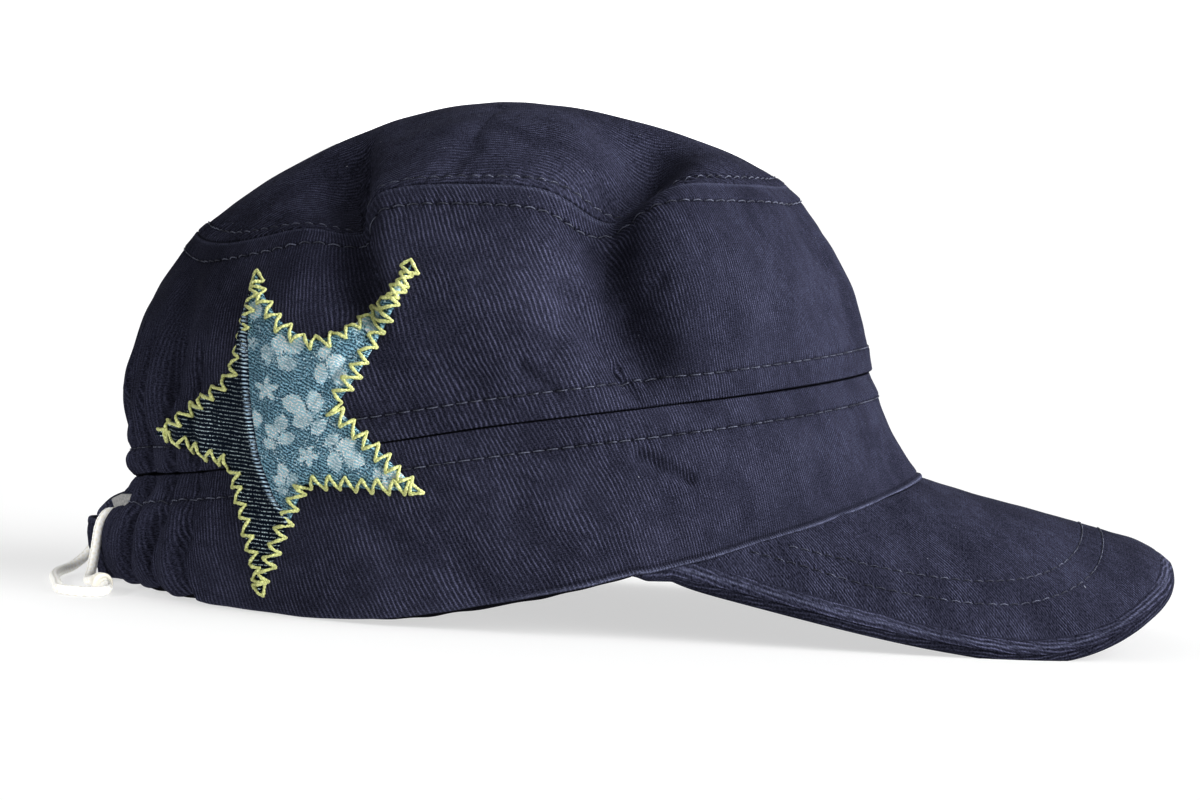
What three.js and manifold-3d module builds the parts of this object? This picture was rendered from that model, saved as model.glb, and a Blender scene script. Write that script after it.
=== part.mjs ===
// A cadet cap: a soft crown of three cloth panels, a curved visor, a five-pointed star patch
// on the wearer's right side and a drawcord that closes the gathered back.
// Millimetres, +X to the front, +Z up. The cap rests on its hem and the two corners of its visor.
import * as THREE from "three";
import { mergeVertices } from "three/addons/utils/BufferGeometryUtils.js";
import Module from "manifold-3d";

const wasm = await Module();
wasm.setup();

// ---- Driving dimensions ----------------------------------------------------------------

const GAP = 0.3; // clearance between neighbouring pieces
const CLOTH = 1.2; // wall of the side and top panels, cloth with its seam allowance
const CASING = 2.0; // wall of the band, a doubled casing for the drawcord
const LINING = 1.0; // wall of the sweatband and of the grey tape
const PATCH = 1.0; // thickness of the star
const CORD = 2.6; // diameter of the drawcord

const CROWN_STEPS = 80; // divisions round the crown
const BAND_ROWS = 4;
const SIDE_ROWS = 8;
const TOP_ROWS = 8;
const CORD_SIDES = 8;
const CORD_STEP = 3.2;
const SEAM_SHY = 0.0035; // half the gap at a seam, as a share of a panel's height
const BAND_END = 174; // degrees from the front to each end of the open band
const SWEATBAND = { end: 162, top: 0.6, rows: 3, shows: 1.0 };

// The crown has a level v at each seam: 0 hem, 1 band seam, 2 top seam, 3 apex.
const HEM = 0;
const BAND_SEAM = 1;
const TOP_SEAM = 2;
const APEX = { x: -32.3, z: 128.4 };

// The plan of each seam: an oval from back to front, wider behind its middle by the egg share.
const RINGS = [
  { back: -131.0, front: 73.4, half: 75.5, egg: 0.05 },
  { back: -129.2, front: 58.8, half: 73.5, egg: 0.05 },
  { back: -115.4, front: 34.2, half: 59.0, egg: 0.03 },
];

// The height of each seam and how far the panel above it bulges, by the angle from the front.
const HEIGHTS = [
  { deg: 0, hem: 39.0, seam: 65.6, top: 112.4, band_bulge: -1.6, side_bulge: 4.2 },
  { deg: 15, hem: 37.0, seam: 65.2, top: 113.0, band_bulge: -1.2, side_bulge: 4.4 },
  { deg: 30, hem: 33.0, seam: 63.7, top: 113.6, band_bulge: -0.5, side_bulge: 4.7 },
  { deg: 45, hem: 28.4, seam: 61.3, top: 113.4, band_bulge: 0.5, side_bulge: 5.0 },
  { deg: 60, hem: 22.6, seam: 58.2, top: 112.0, band_bulge: 1.6, side_bulge: 5.5 },
  { deg: 75, hem: 14.6, seam: 54.6, top: 110.2, band_bulge: 2.2, side_bulge: 6.0 },
  { deg: 90, hem: 7.6, seam: 50.3, top: 109.0, band_bulge: 2.2, side_bulge: 6.3 },
  { deg: 105, hem: 2.2, seam: 45.4, top: 106.0, band_bulge: 2.0, side_bulge: 6.6 },
  { deg: 120, hem: 0.0, seam: 41.2, top: 98.5, band_bulge: 1.8, side_bulge: 7.0 },
  { deg: 135, hem: 0.0, seam: 37.4, top: 90.5, band_bulge: 2.0, side_bulge: 7.2 },
  { deg: 150, hem: 0.8, seam: 32.8, top: 87.2, band_bulge: 2.6, side_bulge: 7.4 },
  { deg: 165, hem: 0.8, seam: 28.8, top: 87.6, band_bulge: 3.2, side_bulge: 7.6 },
  { deg: 180, hem: 0.4, seam: 26.2, top: 88.2, band_bulge: 3.2, side_bulge: 7.6 },
];

// Folds of the crown, each a valley that runs up one side and dies out over the top. In side view
// its line goes from foot to head, given as x and z. It is as wide behind and ahead of that line
// as it says, and sinks in by its depth. Side -1 is the wearer's right.
const FOLDS = [
  { side: -1, foot: [-63.9, 66], head: [-68.3, 121], behind: 14, ahead: 4.5, depth: 8.0 },
  { side: -1, foot: [4, 54], head: [-16, 126], behind: 13, ahead: 9, depth: 10.5 },
  { side: -1, foot: [-117.3, 40], head: [-116.5, 92], behind: 3, ahead: 5, depth: 2.4 },
  { side: -1, foot: [51, 72], head: [41, 104], behind: 6, ahead: 6, depth: 1.2 },
  { side: 1, foot: [-58, 64], head: [-66, 121], behind: 12, ahead: 5, depth: 6.0 },
  { side: 1, foot: [7, 56], head: [-13, 126], behind: 11, ahead: 11, depth: 6.0 },
  { side: 1, foot: [-115, 42], head: [-112, 92], behind: 4, ahead: 4, depth: 2.2 },
];
const FOLD_FADE = { foot: 0.3, inner: -8, outer: 24 }; // shares of its height, and mm off the middle

// The drawcord gathers the back of the band into soft upright ruffles.
const GATHERS = { start: 128, full: 150, period: 8.6, depth: 1.3, top: 1.3 };

// The visor is arched over the brow. Its ridge falls from the hem to a front edge that curls
// down, and its outline in plan is a squarish oval about the axis of the crown's widest part.
// It thins towards the temples, where the sides of the hem come down over it.
const VISOR = {
  root: 73.4,
  ridge: 38.4,
  fall: 0.236,
  curled: 128,
  curl: 0.03,
  reach: 138.4,
  half: 69.0,
  power: 3.4,
  temple: 72,
  thick: 3.2,
  thin: 1.2,
  thinned: 16,
  tuck: 1.0,
  round: 1.3,
  ledge: 0.6,
  rows: 7,
};
const VISOR_ARCH = [
  { x: -10, radius: 84 },
  { x: 40, radius: 86 },
  { x: 80, radius: 83.5 },
  { x: 110, radius: 77 },
  { x: 140, radius: 72 },
];

// The star in side view, as x and z: its tips, and the notches between them.
const STAR = {
  A: [-96.1, 82.8],
  AB: [-80.5, 68.2],
  B: [-56.8, 89.3],
  BC: [-73.7, 52.7],
  C: [-51.6, 33.5],
  CD: [-80.1, 32.9],
  D: [-90.0, 4.6],
  DE: [-99.3, 35.3],
  E: [-118.6, 41.5],
  EA: [-100.7, 57.8],
};
const STAR_HOLLOWS = { A_AB: [-91.0, 70.5], AB_B: [-65.5, 69.0] }; // its top edge is curved
// The seam inside the star, where the denim meets the flowered cloth.
const PATCH_SEAM = [
  { x: -97.2, z: 100 },
  { x: -97.5, z: 74.2 },
  { x: -95.9, z: 57.8 },
  { x: -94.0, z: 45.6 },
  { x: -91.9, z: 37.8 },
  { x: -87.7, z: 28.7 },
  { x: -83.0, z: 23.0 },
  { x: -60.0, z: -10.0 },
];
const PATCH_WINDOW = { back: -172, front: -86, depth: 130 }; // the part of the crown it lies on

// Half of the back strap's path in plan, from inside the casing's end towards its middle.
const STRAP_HALF = [
  [-124.6, 17.0],
  [-125.0, 12.0],
  [-125.8, 8.4],
  [-127.8, 6.3],
  [-131.4, 5.8],
  [-135.6, 5.5],
  [-138.3, 3.6],
];
const STRAP = { middle: [-139.0, 0], thick: 1.6, low: 0.6, high: 15.6 };

// The back flap's path in side view, and the outline of the grey tape at its side.
const FLAP_PATH = [
  [-128.6, 25.9],
  [-129.2, 23.5],
  [-131.2, 21.9],
  [-134.2, 20.6],
  [-136.6, 18.7],
  [-137.8, 16.8],
];
const FLAP = { half: 6.4, thick: 1.2 };
const KEEPER_OUTLINE = [
  [-128.4, 21.9],
  [-130.4, 22.1],
  [-133.4, 20.5],
  [-132.4, 18.9],
  [-131.6, 18.2],
  [-130.6, 18.9],
  [-128.4, 19.6],
];
const KEEPER_Y = -7.0;

// The drawcord comes out over the strap, drops to the floor and lies there in a loop.
const LAID = CORD / 2 + 0.05; // height of its middle on the floor
const UPPER_ROUTE = [
  [-128.2, -1.9, 17.0],
  [-130.1, -3.4, 18.0],
  [-132.1, -5.2, 18.3],
  [-133.8, -6.8, 17.6],
  [-135.1, -8.0, 16.1],
  [-135.8, -8.8, 14.1],
  [-136.1, -9.3, 11.8],
  [-136.3, -9.8, 9.4],
  [-136.5, -10.6, 7.0],
  [-136.7, -11.9, 4.8],
  [-136.8, -13.7, 3.0],
  [-136.9, -16.0, 1.8],
  [-136.9, -18.6, 1.4],
  [-136.6, -22.0, LAID],
  [-135.6, -26.0, 1.7],
  [-133.8, -30.8, 2.5],
];
const LOWER_ROUTE = [
  [-130.4, -40.4, 2.4],
  [-129.6, -43.3, 1.9],
  [-130.0, -46.2, 1.6],
  [-131.6, -48.5, LAID],
  [-134.1, -49.9, LAID],
  [-136.9, -50.0, LAID],
  [-139.4, -48.8, LAID],
  [-141.2, -46.5, LAID],
  [-142.0, -43.5, LAID],
  [-142.5, -39.4, LAID],
  [-143.2, -34.2, LAID],
  [-144.2, -28.2, LAID],
  [-145.2, -22.0, LAID],
  [-145.9, -15.6, LAID],
  [-146.0, -9.2, LAID],
  [-145.4, -3.2, 1.5],
  [-143.9, 1.8, 1.9],
  [-141.9, 5.6, 3.3],
  [-139.7, 8.0, 5.7],
  [-137.9, 9.3, 8.8],
  [-136.6, 9.5, 11.7],
  [-135.8, 8.9, 14.1],
  [-135.1, 8.0, 16.1],
  [-133.8, 6.8, 17.6],
  [-132.1, 5.2, 18.3],
  [-130.1, 3.4, 18.0],
  [-128.2, 1.9, 17.0],
];

// The clasp's two halves as radius and distance from the upper cord. The plug's tongue lies in
// the socket's bore and shows through its window, which is wide, deep and long.
const CLASP = { sides: 12, radius: 2.4, window: [1.8, 2.0, 2.2], window_at: 4.4 };
const SOCKET_PROFILE = [
  [0, 0],
  [1.5, 0],
  [2.0, 1.2],
  [CLASP.radius, 2.8],
  [CLASP.radius, 6.2],
  [1.5, 6.2],
  [1.5, 2.6],
  [0, 2.6],
];
const PLUG_PROFILE = [
  [0, 2.9],
  [1.2, 2.9],
  [1.2, 6.5],
  [CLASP.radius, 6.5],
  [CLASP.radius, 7.3],
  [1.9, 7.5],
  [1.5, 9.6],
  [0, 9.6],
];

// ---- Small tools ------------------------------------------------------------------------

const radians = (deg) => (deg * Math.PI) / 180;
const clamp = (value, low, high) => Math.min(Math.max(value, low), high);
const mix = (a, b, share) => a + (b - a) * share;

function smooth(low, high, value) {
  const share = clamp((value - low) / (high - low), 0, 1);
  return share * share * (3 - 2 * share);
}

/** A smooth curve through one column of a table, read at a value of its key column. */
function read(rows, key, column, value) {
  const last = rows.length - 1;
  const at = clamp(value, rows[0][key], rows[last][key]);
  let i = 0;
  while (i < last - 1 && at > rows[i + 1][key]) i += 1;
  const slope = (k) => {
    const a = rows[Math.max(k - 1, 0)];
    const b = rows[Math.min(k + 1, last)];
    return (b[column] - a[column]) / (b[key] - a[key]);
  };
  const width = rows[i + 1][key] - rows[i][key];
  const t = (at - rows[i][key]) / width;
  const t2 = t * t;
  const t3 = t2 * t;
  return (
    (2 * t3 - 3 * t2 + 1) * rows[i][column] +
    (t3 - 2 * t2 + t) * slope(i) * width +
    (3 * t2 - 2 * t3) * rows[i + 1][column] +
    (t3 - t2) * slope(i + 1) * width
  );
}

/** A point on a seam's oval. */
function ringPoint(ring, angle) {
  const middle = (ring.back + ring.front) / 2;
  const reach = (ring.front - ring.back) / 2;
  const width = ring.half * (1 - ring.egg * Math.cos(angle));
  return [middle + reach * Math.cos(angle), width * Math.sin(angle)];
}

/** The outward direction of the cap at a level: level to the side at the band, upright at the apex. */
function outward(deg, v) {
  const angle = radians(deg);
  const ring = RINGS[0];
  const reach = (ring.front - ring.back) / 2;
  const flat = new THREE.Vector2(ring.half * Math.cos(angle), reach * Math.sin(angle)).normalize();
  const rise = smooth(1.2, 2.6, v);
  const level = Math.cos((rise * Math.PI) / 2);
  return new THREE.Vector3(flat.x * level, flat.y * level, Math.sin((rise * Math.PI) / 2));
}

// ---- The visor's surface ----------------------------------------------------------------

function visorTop(x, y) {
  const ridge = VISOR.ridge - (x - VISOR.root) * VISOR.fall;
  const radius = read(VISOR_ARCH, "x", "radius", x);
  const drop = VISOR.curl * Math.max(x - VISOR.curled, 0) ** 2;
  return ridge - (radius - Math.sqrt(radius * radius - y * y)) - drop;
}

// ---- The crown's surface ----------------------------------------------------------------

/** The hem stands on the visor in front of the temples and on the floor behind them. */
function hemHeight(x, y, deg) {
  const off = Math.abs(deg);
  const free = read(HEIGHTS, "deg", "hem", off);
  const share = smooth(VISOR.temple, VISOR.temple + 9, off);
  return Math.max(mix(visorTop(x, y) + GAP, free, share), 0);
}

function seamPoint(deg, level) {
  const [x, y] = ringPoint(RINGS[level], radians(deg));
  if (level === HEM) return new THREE.Vector3(x, y, hemHeight(x, y, deg));
  const column = level === BAND_SEAM ? "seam" : "top";
  return new THREE.Vector3(x, y, read(HEIGHTS, "deg", column, Math.abs(deg)));
}

/** How far the folds and gathers draw the cloth in at a place on the crown. */
function creases(point, deg, v) {
  let depth = 0;
  for (const { side, foot, head, behind, ahead, depth: most } of FOLDS) {
    const share = (point.z - foot[1]) / (head[1] - foot[1]);
    const away = point.x - mix(foot[0], head[0], share);
    const spread = Math.exp(-((away / (away < 0 ? behind : ahead)) ** 2));
    const fade = smooth(0, FOLD_FADE.foot, share) * smooth(FOLD_FADE.inner, FOLD_FADE.outer, side * point.y);
    depth += most * fade * spread;
  }
  const gathered = smooth(GATHERS.start, GATHERS.full, Math.abs(deg));
  const ripple = 0.5 - 0.5 * Math.cos((deg / GATHERS.period) * 2 * Math.PI);
  return depth + GATHERS.depth * gathered * ripple * (1 - smooth(0.9, GATHERS.top, v));
}

/** A point on the outside of the crown. */
function crownPoint(deg, v) {
  const off = Math.abs(deg);
  const out = outward(deg, v);
  const point = new THREE.Vector3();
  if (v <= TOP_SEAM) {
    const low = v <= BAND_SEAM ? HEM : BAND_SEAM;
    const share = v - low;
    const bulge = read(HEIGHTS, "deg", low === HEM ? "band_bulge" : "side_bulge", off);
    point.lerpVectors(seamPoint(deg, low), seamPoint(deg, low + 1), share);
    point.addScaledVector(out, bulge * Math.sin(Math.PI * share));
  } else {
    const share = v - TOP_SEAM;
    const edge = seamPoint(deg, TOP_SEAM);
    point.set(mix(edge.x, APEX.x, share), edge.y * (1 - share), mix(edge.z, APEX.z, 1 - (1 - share) ** 2));
  }
  return point.addScaledVector(out, -creases(point, deg, v));
}

/** The same point moved out, or in with a minus sign, to make a wall. */
function crownOffset(deg, v, distance) {
  const point = crownPoint(deg, v).addScaledVector(outward(deg, v), distance);
  if (v === HEM) point.z = hemHeight(point.x, point.y, deg);
  return point;
}

// ---- Solids from grids of points ----------------------------------------------------------

/**
 * A closed wall between two grids of points. Each row runs anticlockwise as seen from above and
 * the rows run from low to high, so that the front grid faces outward. A loop closes on itself,
 * an edge is a row of points beyond the last rows that rounds their rim, and tips are the two
 * points that close a dome.
 */
function wall(front, back, { loop = false, edge = null, tips = null } = {}) {
  const positions = [];
  const top = front.length - 1;
  const columns = front[0].length;
  const triangle = (a, b, c) => positions.push(...a.toArray(), ...b.toArray(), ...c.toArray());
  const quad = (a, b, c, d) => {
    triangle(a, b, c);
    triangle(a, c, d);
  };
  for (let j = 0; j < (loop ? columns : columns - 1); j += 1) {
    const k = (j + 1) % columns;
    for (let i = 0; i < top; i += 1) {
      quad(front[i][j], front[i][k], front[i + 1][k], front[i + 1][j]);
      quad(back[i][j], back[i + 1][j], back[i + 1][k], back[i][k]);
    }
    quad(back[0][j], back[0][k], front[0][k], front[0][j]);
    if (tips) {
      triangle(front[top][j], front[top][k], tips[0]);
      triangle(back[top][k], back[top][j], tips[1]);
    } else if (edge) {
      quad(front[top][j], front[top][k], edge[k], edge[j]);
      quad(edge[j], edge[k], back[top][k], back[top][j]);
    } else {
      quad(front[top][j], front[top][k], back[top][k], back[top][j]);
    }
  }
  if (!loop) {
    const end = columns - 1;
    for (let i = 0; i < top; i += 1) {
      quad(back[i][0], front[i][0], front[i + 1][0], back[i + 1][0]);
      quad(front[i][end], back[i][end], back[i + 1][end], front[i + 1][end]);
    }
    if (edge) {
      triangle(back[top][0], front[top][0], edge[0]);
      triangle(front[top][end], back[top][end], edge[end]);
    }
  }
  const geometry = new THREE.BufferGeometry();
  geometry.setAttribute("position", new THREE.Float32BufferAttribute(positions, 3));
  return geometry;
}

/** Evenly spaced values, ends included. */
function steps(from, to, count) {
  return Array.from({ length: count + 1 }, (_, i) => mix(from, to, i / count));
}

function grid(levels, degrees, place) {
  return levels.map((v) => degrees.map((deg) => place(deg, v)));
}

const ROUND = steps(-180, 180, CROWN_STEPS).slice(0, -1);
const openRing = (limit) => [-limit, ...ROUND.filter((deg) => Math.abs(deg) < limit - 1), limit];

/** Levels of a panel, which stops half a gap short of its seams. */
function panelLevels(from, to, rows) {
  return steps(from, to, rows).map((v) => clamp(v, from === HEM ? HEM : from + SEAM_SHY, to - SEAM_SHY));
}

const BAND_LEVELS = panelLevels(HEM, BAND_SEAM, BAND_ROWS);
const SIDE_LEVELS = panelLevels(BAND_SEAM, TOP_SEAM, SIDE_ROWS);

// ---- Crown ----------------------------------------------------------------------------------

/** The casing round the head, open at the back where the drawcord comes out. */
function crownBand() {
  const degrees = openRing(BAND_END);
  const outer = grid(BAND_LEVELS, degrees, (deg, v) => crownOffset(deg, v, 0));
  const inner = grid(BAND_LEVELS, degrees, (deg, v) => crownOffset(deg, v, -CASING));
  return wall(outer, inner);
}

function crownSide() {
  const outer = grid(SIDE_LEVELS, ROUND, (deg, v) => crownOffset(deg, v, 0));
  const inner = grid(SIDE_LEVELS, ROUND, (deg, v) => crownOffset(deg, v, -CLOTH));
  return wall(outer, inner, { loop: true });
}

function crownTop() {
  const levels = steps(TOP_SEAM + SEAM_SHY, TOP_SEAM + 1, TOP_ROWS).slice(0, -1);
  const outer = grid(levels, ROUND, (deg, v) => crownOffset(deg, v, 0));
  const inner = grid(levels, ROUND, (deg, v) => crownOffset(deg, v, -CLOTH));
  const tips = [APEX.z, APEX.z - CLOTH].map((z) => new THREE.Vector3(APEX.x, 0, z));
  return wall(outer, inner, { loop: true, tips });
}

/** The sweatband shows as a thin dark line under the hem behind the temples. */
function sweatband() {
  const degrees = openRing(SWEATBAND.end);
  const levels = steps(HEM, SWEATBAND.top, SWEATBAND.rows);
  const place = (distance) => (deg, v) => {
    const point = crownOffset(deg, v, distance);
    if (v === HEM) point.z = Math.max(point.z - SWEATBAND.shows, 0);
    return point;
  };
  const depth = CASING + GAP;
  return wall(grid(levels, degrees, place(-depth)), grid(levels, degrees, place(-depth - LINING)));
}

// ---- Visor ----------------------------------------------------------------------------------

/** How far out the visor's edge lies in plan, at an angle from the front. */
function visorReach(angle) {
  const across = Math.abs(Math.sin(angle)) / VISOR.half;
  const along = Math.abs(Math.cos(angle)) / VISOR.reach;
  return (across ** VISOR.power + along ** VISOR.power) ** (-1 / VISOR.power);
}

function visor() {
  const degrees = ROUND.filter((deg) => Math.abs(deg) <= VISOR.temple);
  const rows = steps(0, 1, VISOR.rows).map((share) =>
    degrees.map((deg) => {
      const inner = crownOffset(deg, HEM, -VISOR.tuck);
      const angle = Math.atan2(inner.y, inner.x);
      const start = Math.hypot(inner.x, inner.y);
      const radius = mix(start, Math.max(visorReach(angle), start + VISOR.ledge), share);
      const x = radius * Math.cos(angle);
      const y = radius * Math.sin(angle);
      return new THREE.Vector3(x, y, visorTop(x, y));
    }),
  );
  const lowered = (point, depth) => new THREE.Vector3(point.x, point.y, point.z - depth);
  const thick = degrees.map((deg) => {
    const share = smooth(VISOR.temple - VISOR.thinned, VISOR.temple, Math.abs(deg));
    return mix(VISOR.thick, VISOR.thin, share);
  });
  const under = rows.map((row) => row.map((point, j) => lowered(point, thick[j])));
  const edge = rows[VISOR.rows].map((point, j) => {
    const out = new THREE.Vector3(point.x, point.y, 0).normalize();
    return lowered(point, thick[j] / 2).addScaledVector(out, (VISOR.round * thick[j]) / VISOR.thick);
  });
  return wall(under, rows, { edge });
}

// ---- Star patch -------------------------------------------------------------------------------

/** A solid that can be cut and joined, from a closed geometry. */
function solid(geometry) {
  const plain = geometry.index ? geometry.toNonIndexed() : geometry.clone();
  for (const name of ["normal", "uv"]) plain.deleteAttribute(name);
  const merged = mergeVertices(plain, 1e-4);
  const mesh = new wasm.Mesh({
    numProp: 3,
    vertProperties: Float32Array.from(merged.attributes.position.array),
    triVerts: Uint32Array.from(merged.index.array),
  });
  return new wasm.Manifold(mesh);
}

function geometryOf(manifold) {
  const mesh = manifold.getMesh();
  const geometry = new THREE.BufferGeometry();
  geometry.setAttribute("position", new THREE.Float32BufferAttribute(mesh.vertProperties, 3));
  geometry.setIndex(Array.from(mesh.triVerts));
  return geometry;
}

/** A prism through the right side of the cap, with an outline in side view. */
function sidePrism(shape) {
  const options = { depth: PATCH_WINDOW.depth, bevelEnabled: false, curveSegments: 6 };
  return solid(new THREE.ExtrudeGeometry(shape, options).rotateX(Math.PI / 2));
}

function starShape() {
  const shape = new THREE.Shape();
  shape.moveTo(...STAR.A);
  shape.quadraticCurveTo(...STAR_HOLLOWS.A_AB, ...STAR.AB);
  shape.quadraticCurveTo(...STAR_HOLLOWS.AB_B, ...STAR.B);
  for (const name of ["BC", "C", "CD", "D", "DE", "E", "EA"]) shape.lineTo(...STAR[name]);
  return shape;
}

/** The side view in front of the star's own seam, or behind it: direction is 1 or -1. */
function besideSeam(direction) {
  const points = PATCH_SEAM.map((row) => new THREE.Vector2(row.x + (direction * GAP) / 2, row.z));
  const seam = new THREE.SplineCurve(points).getPoints(18);
  const far = direction * PATCH_WINDOW.depth;
  const shape = new THREE.Shape(seam);
  shape.lineTo(far + seam[0].x, seam[18].y);
  shape.lineTo(far + seam[0].x, seam[0].y);
  return shape;
}

function starPatch(direction) {
  const levels = [...BAND_LEVELS, ...SIDE_LEVELS];
  const degrees = ROUND.filter((deg) => deg > PATCH_WINDOW.back && deg < PATCH_WINDOW.front);
  const outer = grid(levels, degrees, (deg, v) => crownOffset(deg, v, GAP + PATCH));
  const inner = grid(levels, degrees, (deg, v) => crownOffset(deg, v, GAP));
  const cloth = solid(wall(outer, inner));
  return geometryOf(cloth.intersect(sidePrism(starShape())).intersect(sidePrism(besideSeam(direction))));
}

// ---- Back closure -------------------------------------------------------------------------------

/** The outline of a bent strip, from the path of its middle. */
function strip(path, thickness, divisions) {
  const middle = new THREE.SplineCurve(path.map(([x, y]) => new THREE.Vector2(x, y)));
  const sides = [-1, 1].map((side) =>
    steps(0, 1, divisions).map((share) => {
      const along = middle.getTangent(share);
      const aside = new THREE.Vector2(-along.y, along.x).multiplyScalar((side * thickness) / 2);
      return middle.getPoint(share).add(aside);
    }),
  );
  return new THREE.Shape([...sides[0], ...sides[1].reverse()]);
}

/** The strap bridges the two ends of the casing and stands out behind them. */
function backStrap() {
  const mirrored = STRAP_HALF.map(([x, y]) => [x, -y]).reverse();
  const outline = strip([...STRAP_HALF, STRAP.middle, ...mirrored], STRAP.thick, 28);
  const geometry = new THREE.ExtrudeGeometry(outline, { depth: STRAP.high - STRAP.low, bevelEnabled: false });
  return geometry.translate(0, 0, STRAP.low);
}

/** The flap hangs from the side panel over the drawcord. */
function backFlap() {
  const outline = strip(FLAP_PATH, FLAP.thick, 10);
  const geometry = new THREE.ExtrudeGeometry(outline, { depth: 2 * FLAP.half, bevelEnabled: false });
  return geometry.rotateX(Math.PI / 2).translate(0, FLAP.half, 0);
}

/** A grey tape closes the flap's right side, above the drawcord's exit. */
function cordKeeper() {
  const outline = new THREE.Shape(KEEPER_OUTLINE.map(([x, z]) => new THREE.Vector2(x, z)));
  const geometry = new THREE.ExtrudeGeometry(outline, { depth: LINING, bevelEnabled: false });
  return geometry.rotateX(Math.PI / 2).translate(0, KEEPER_Y, 0);
}

// ---- Drawcord and its clasp ---------------------------------------------------------------------

function drawcord(route) {
  const curve = new THREE.CatmullRomCurve3(route.map((point) => new THREE.Vector3(...point)));
  const section = new THREE.Shape(
    steps(0, 2 * Math.PI, CORD_SIDES)
      .slice(0, -1)
      .map((turn) => new THREE.Vector2(Math.cos(turn), Math.sin(turn)).multiplyScalar(CORD / 2)),
  );
  const count = Math.round(curve.getLength() / CORD_STEP);
  return new THREE.ExtrudeGeometry(section, { extrudePath: curve, steps: count, bevelEnabled: false });
}

/** A turned piece of the clasp, standing on its own axis, from radius and distance pairs. */
function turned(profile) {
  const points = profile.map(([radius, along]) => new THREE.Vector2(radius, along));
  return new THREE.LatheGeometry(points, CLASP.sides);
}

function claspSocket() {
  const body = solid(turned(SOCKET_PROFILE));
  const [wide, deep, long] = CLASP.window;
  const slot = new THREE.BoxGeometry(wide, long, deep).translate(0, CLASP.window_at, CLASP.radius);
  return geometryOf(body.subtract(solid(slot)));
}

/** Sets a turned piece on the line from the upper cord's end to the lower cord's start. */
function placeOnCord(mesh) {
  const from = new THREE.Vector3(...UPPER_ROUTE[UPPER_ROUTE.length - 1]);
  const along = new THREE.Vector3(...LOWER_ROUTE[0]).sub(from).normalize();
  mesh.quaternion.setFromUnitVectors(new THREE.Vector3(0, 1, 0), along);
  mesh.position.copy(from).addScaledVector(along, GAP);
}

// ---- The cap ------------------------------------------------------------------------------------

function piece(name, geometry, finish) {
  const mesh = new THREE.Mesh(geometry, new THREE.MeshStandardMaterial(finish));
  mesh.name = name;
  return mesh;
}

const NAVY = { color: 0x24263f, roughness: 0.9, metalness: 0 };
const BLACK_COTTON = { color: 0x15151c, roughness: 0.9, metalness: 0 };
const DENIM = { color: 0x1b2436, roughness: 0.9, metalness: 0 };
const FLOWERED = { color: 0x5f8a9c, roughness: 0.85, metalness: 0 };
const GREY_TAPE = { color: 0x6f7377, roughness: 0.7, metalness: 0 };
const IVORY_CORD = { color: 0xece6d2, roughness: 0.8, metalness: 0 };
const IVORY_PLASTIC = { color: 0xf1ecdc, roughness: 0.35, metalness: 0 };

const crown = new THREE.Group();
crown.add(piece("crown_band", crownBand(), NAVY));
crown.add(piece("crown_side", crownSide(), NAVY));
crown.add(piece("crown_top", crownTop(), NAVY));
crown.add(piece("sweatband", sweatband(), BLACK_COTTON));

const star = new THREE.Group();
star.add(piece("star_denim", starPatch(-1), DENIM));
star.add(piece("star_floral", starPatch(1), FLOWERED));

const closure = new THREE.Group();
closure.add(piece("back_strap", backStrap(), NAVY));
closure.add(piece("back_flap", backFlap(), NAVY));
closure.add(piece("cord_keeper", cordKeeper(), GREY_TAPE));

const cord = new THREE.Group();
cord.add(piece("drawcord_upper", drawcord(UPPER_ROUTE), IVORY_CORD));
cord.add(piece("drawcord_lower", drawcord(LOWER_ROUTE), IVORY_CORD));
for (const [name, geometry] of [
  ["clasp_socket", claspSocket()],
  ["clasp_plug", turned(PLUG_PROFILE)],
]) {
  const mesh = piece(name, geometry, IVORY_PLASTIC);
  placeOnCord(mesh);
  cord.add(mesh);
}

const cap = new THREE.Group();
cap.add(crown, piece("visor", visor(), NAVY), star, closure, cord);
export default cap;
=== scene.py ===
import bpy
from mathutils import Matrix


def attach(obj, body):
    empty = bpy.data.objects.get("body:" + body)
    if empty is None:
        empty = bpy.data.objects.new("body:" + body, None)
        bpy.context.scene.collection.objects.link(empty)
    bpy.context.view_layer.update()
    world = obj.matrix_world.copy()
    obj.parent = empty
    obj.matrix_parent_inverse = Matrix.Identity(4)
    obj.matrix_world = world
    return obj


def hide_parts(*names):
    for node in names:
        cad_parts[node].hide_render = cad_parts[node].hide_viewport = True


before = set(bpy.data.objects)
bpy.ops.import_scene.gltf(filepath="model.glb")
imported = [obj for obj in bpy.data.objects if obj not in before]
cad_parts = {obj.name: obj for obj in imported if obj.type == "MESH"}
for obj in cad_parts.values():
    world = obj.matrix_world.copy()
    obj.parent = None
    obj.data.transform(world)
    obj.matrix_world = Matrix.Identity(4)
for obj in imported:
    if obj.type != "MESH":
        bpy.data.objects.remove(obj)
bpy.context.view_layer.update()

# A cadet cap in navy twill, with a star of denim and flowered cloth and a braided drawcord.
# Shapes are worked out in millimetres, in the frame of the CAD model, and become metres in
# Build.piece. The crown and the visor follow the functions of the CAD source, so that each cloth
# lies on its solid, with a few heights and folds moved by up to 3 mm to meet the photograph. They
# add what the solids leave out: seams, puckers, wrinkles and thread.
import math

import bpy
import numpy as np
from mathutils import Matrix, Vector
from mathutils.bvhtree import BVHTree
from mathutils.geometry import delaunay_2d_cdt

MM = 0.001
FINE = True
COLUMNS = 640 if FINE else 320  # divisions round the crown
ABOVE_FLOOR = 0.02  # nothing reaches lower, in mm
SEAM_GAP = 0.3  # clearance that the CAD keeps between pieces, in mm

# ---- Camera: the photograph's angle and framing ----

CAMERA = {
    "place": (10.0, -1497.2, 153.57),
    "aim": (-10.1, 0.0, 53.6),
    "roll": 3.5,  # degrees: the ground falls to the right
    "lens": 175.5,
}


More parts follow.
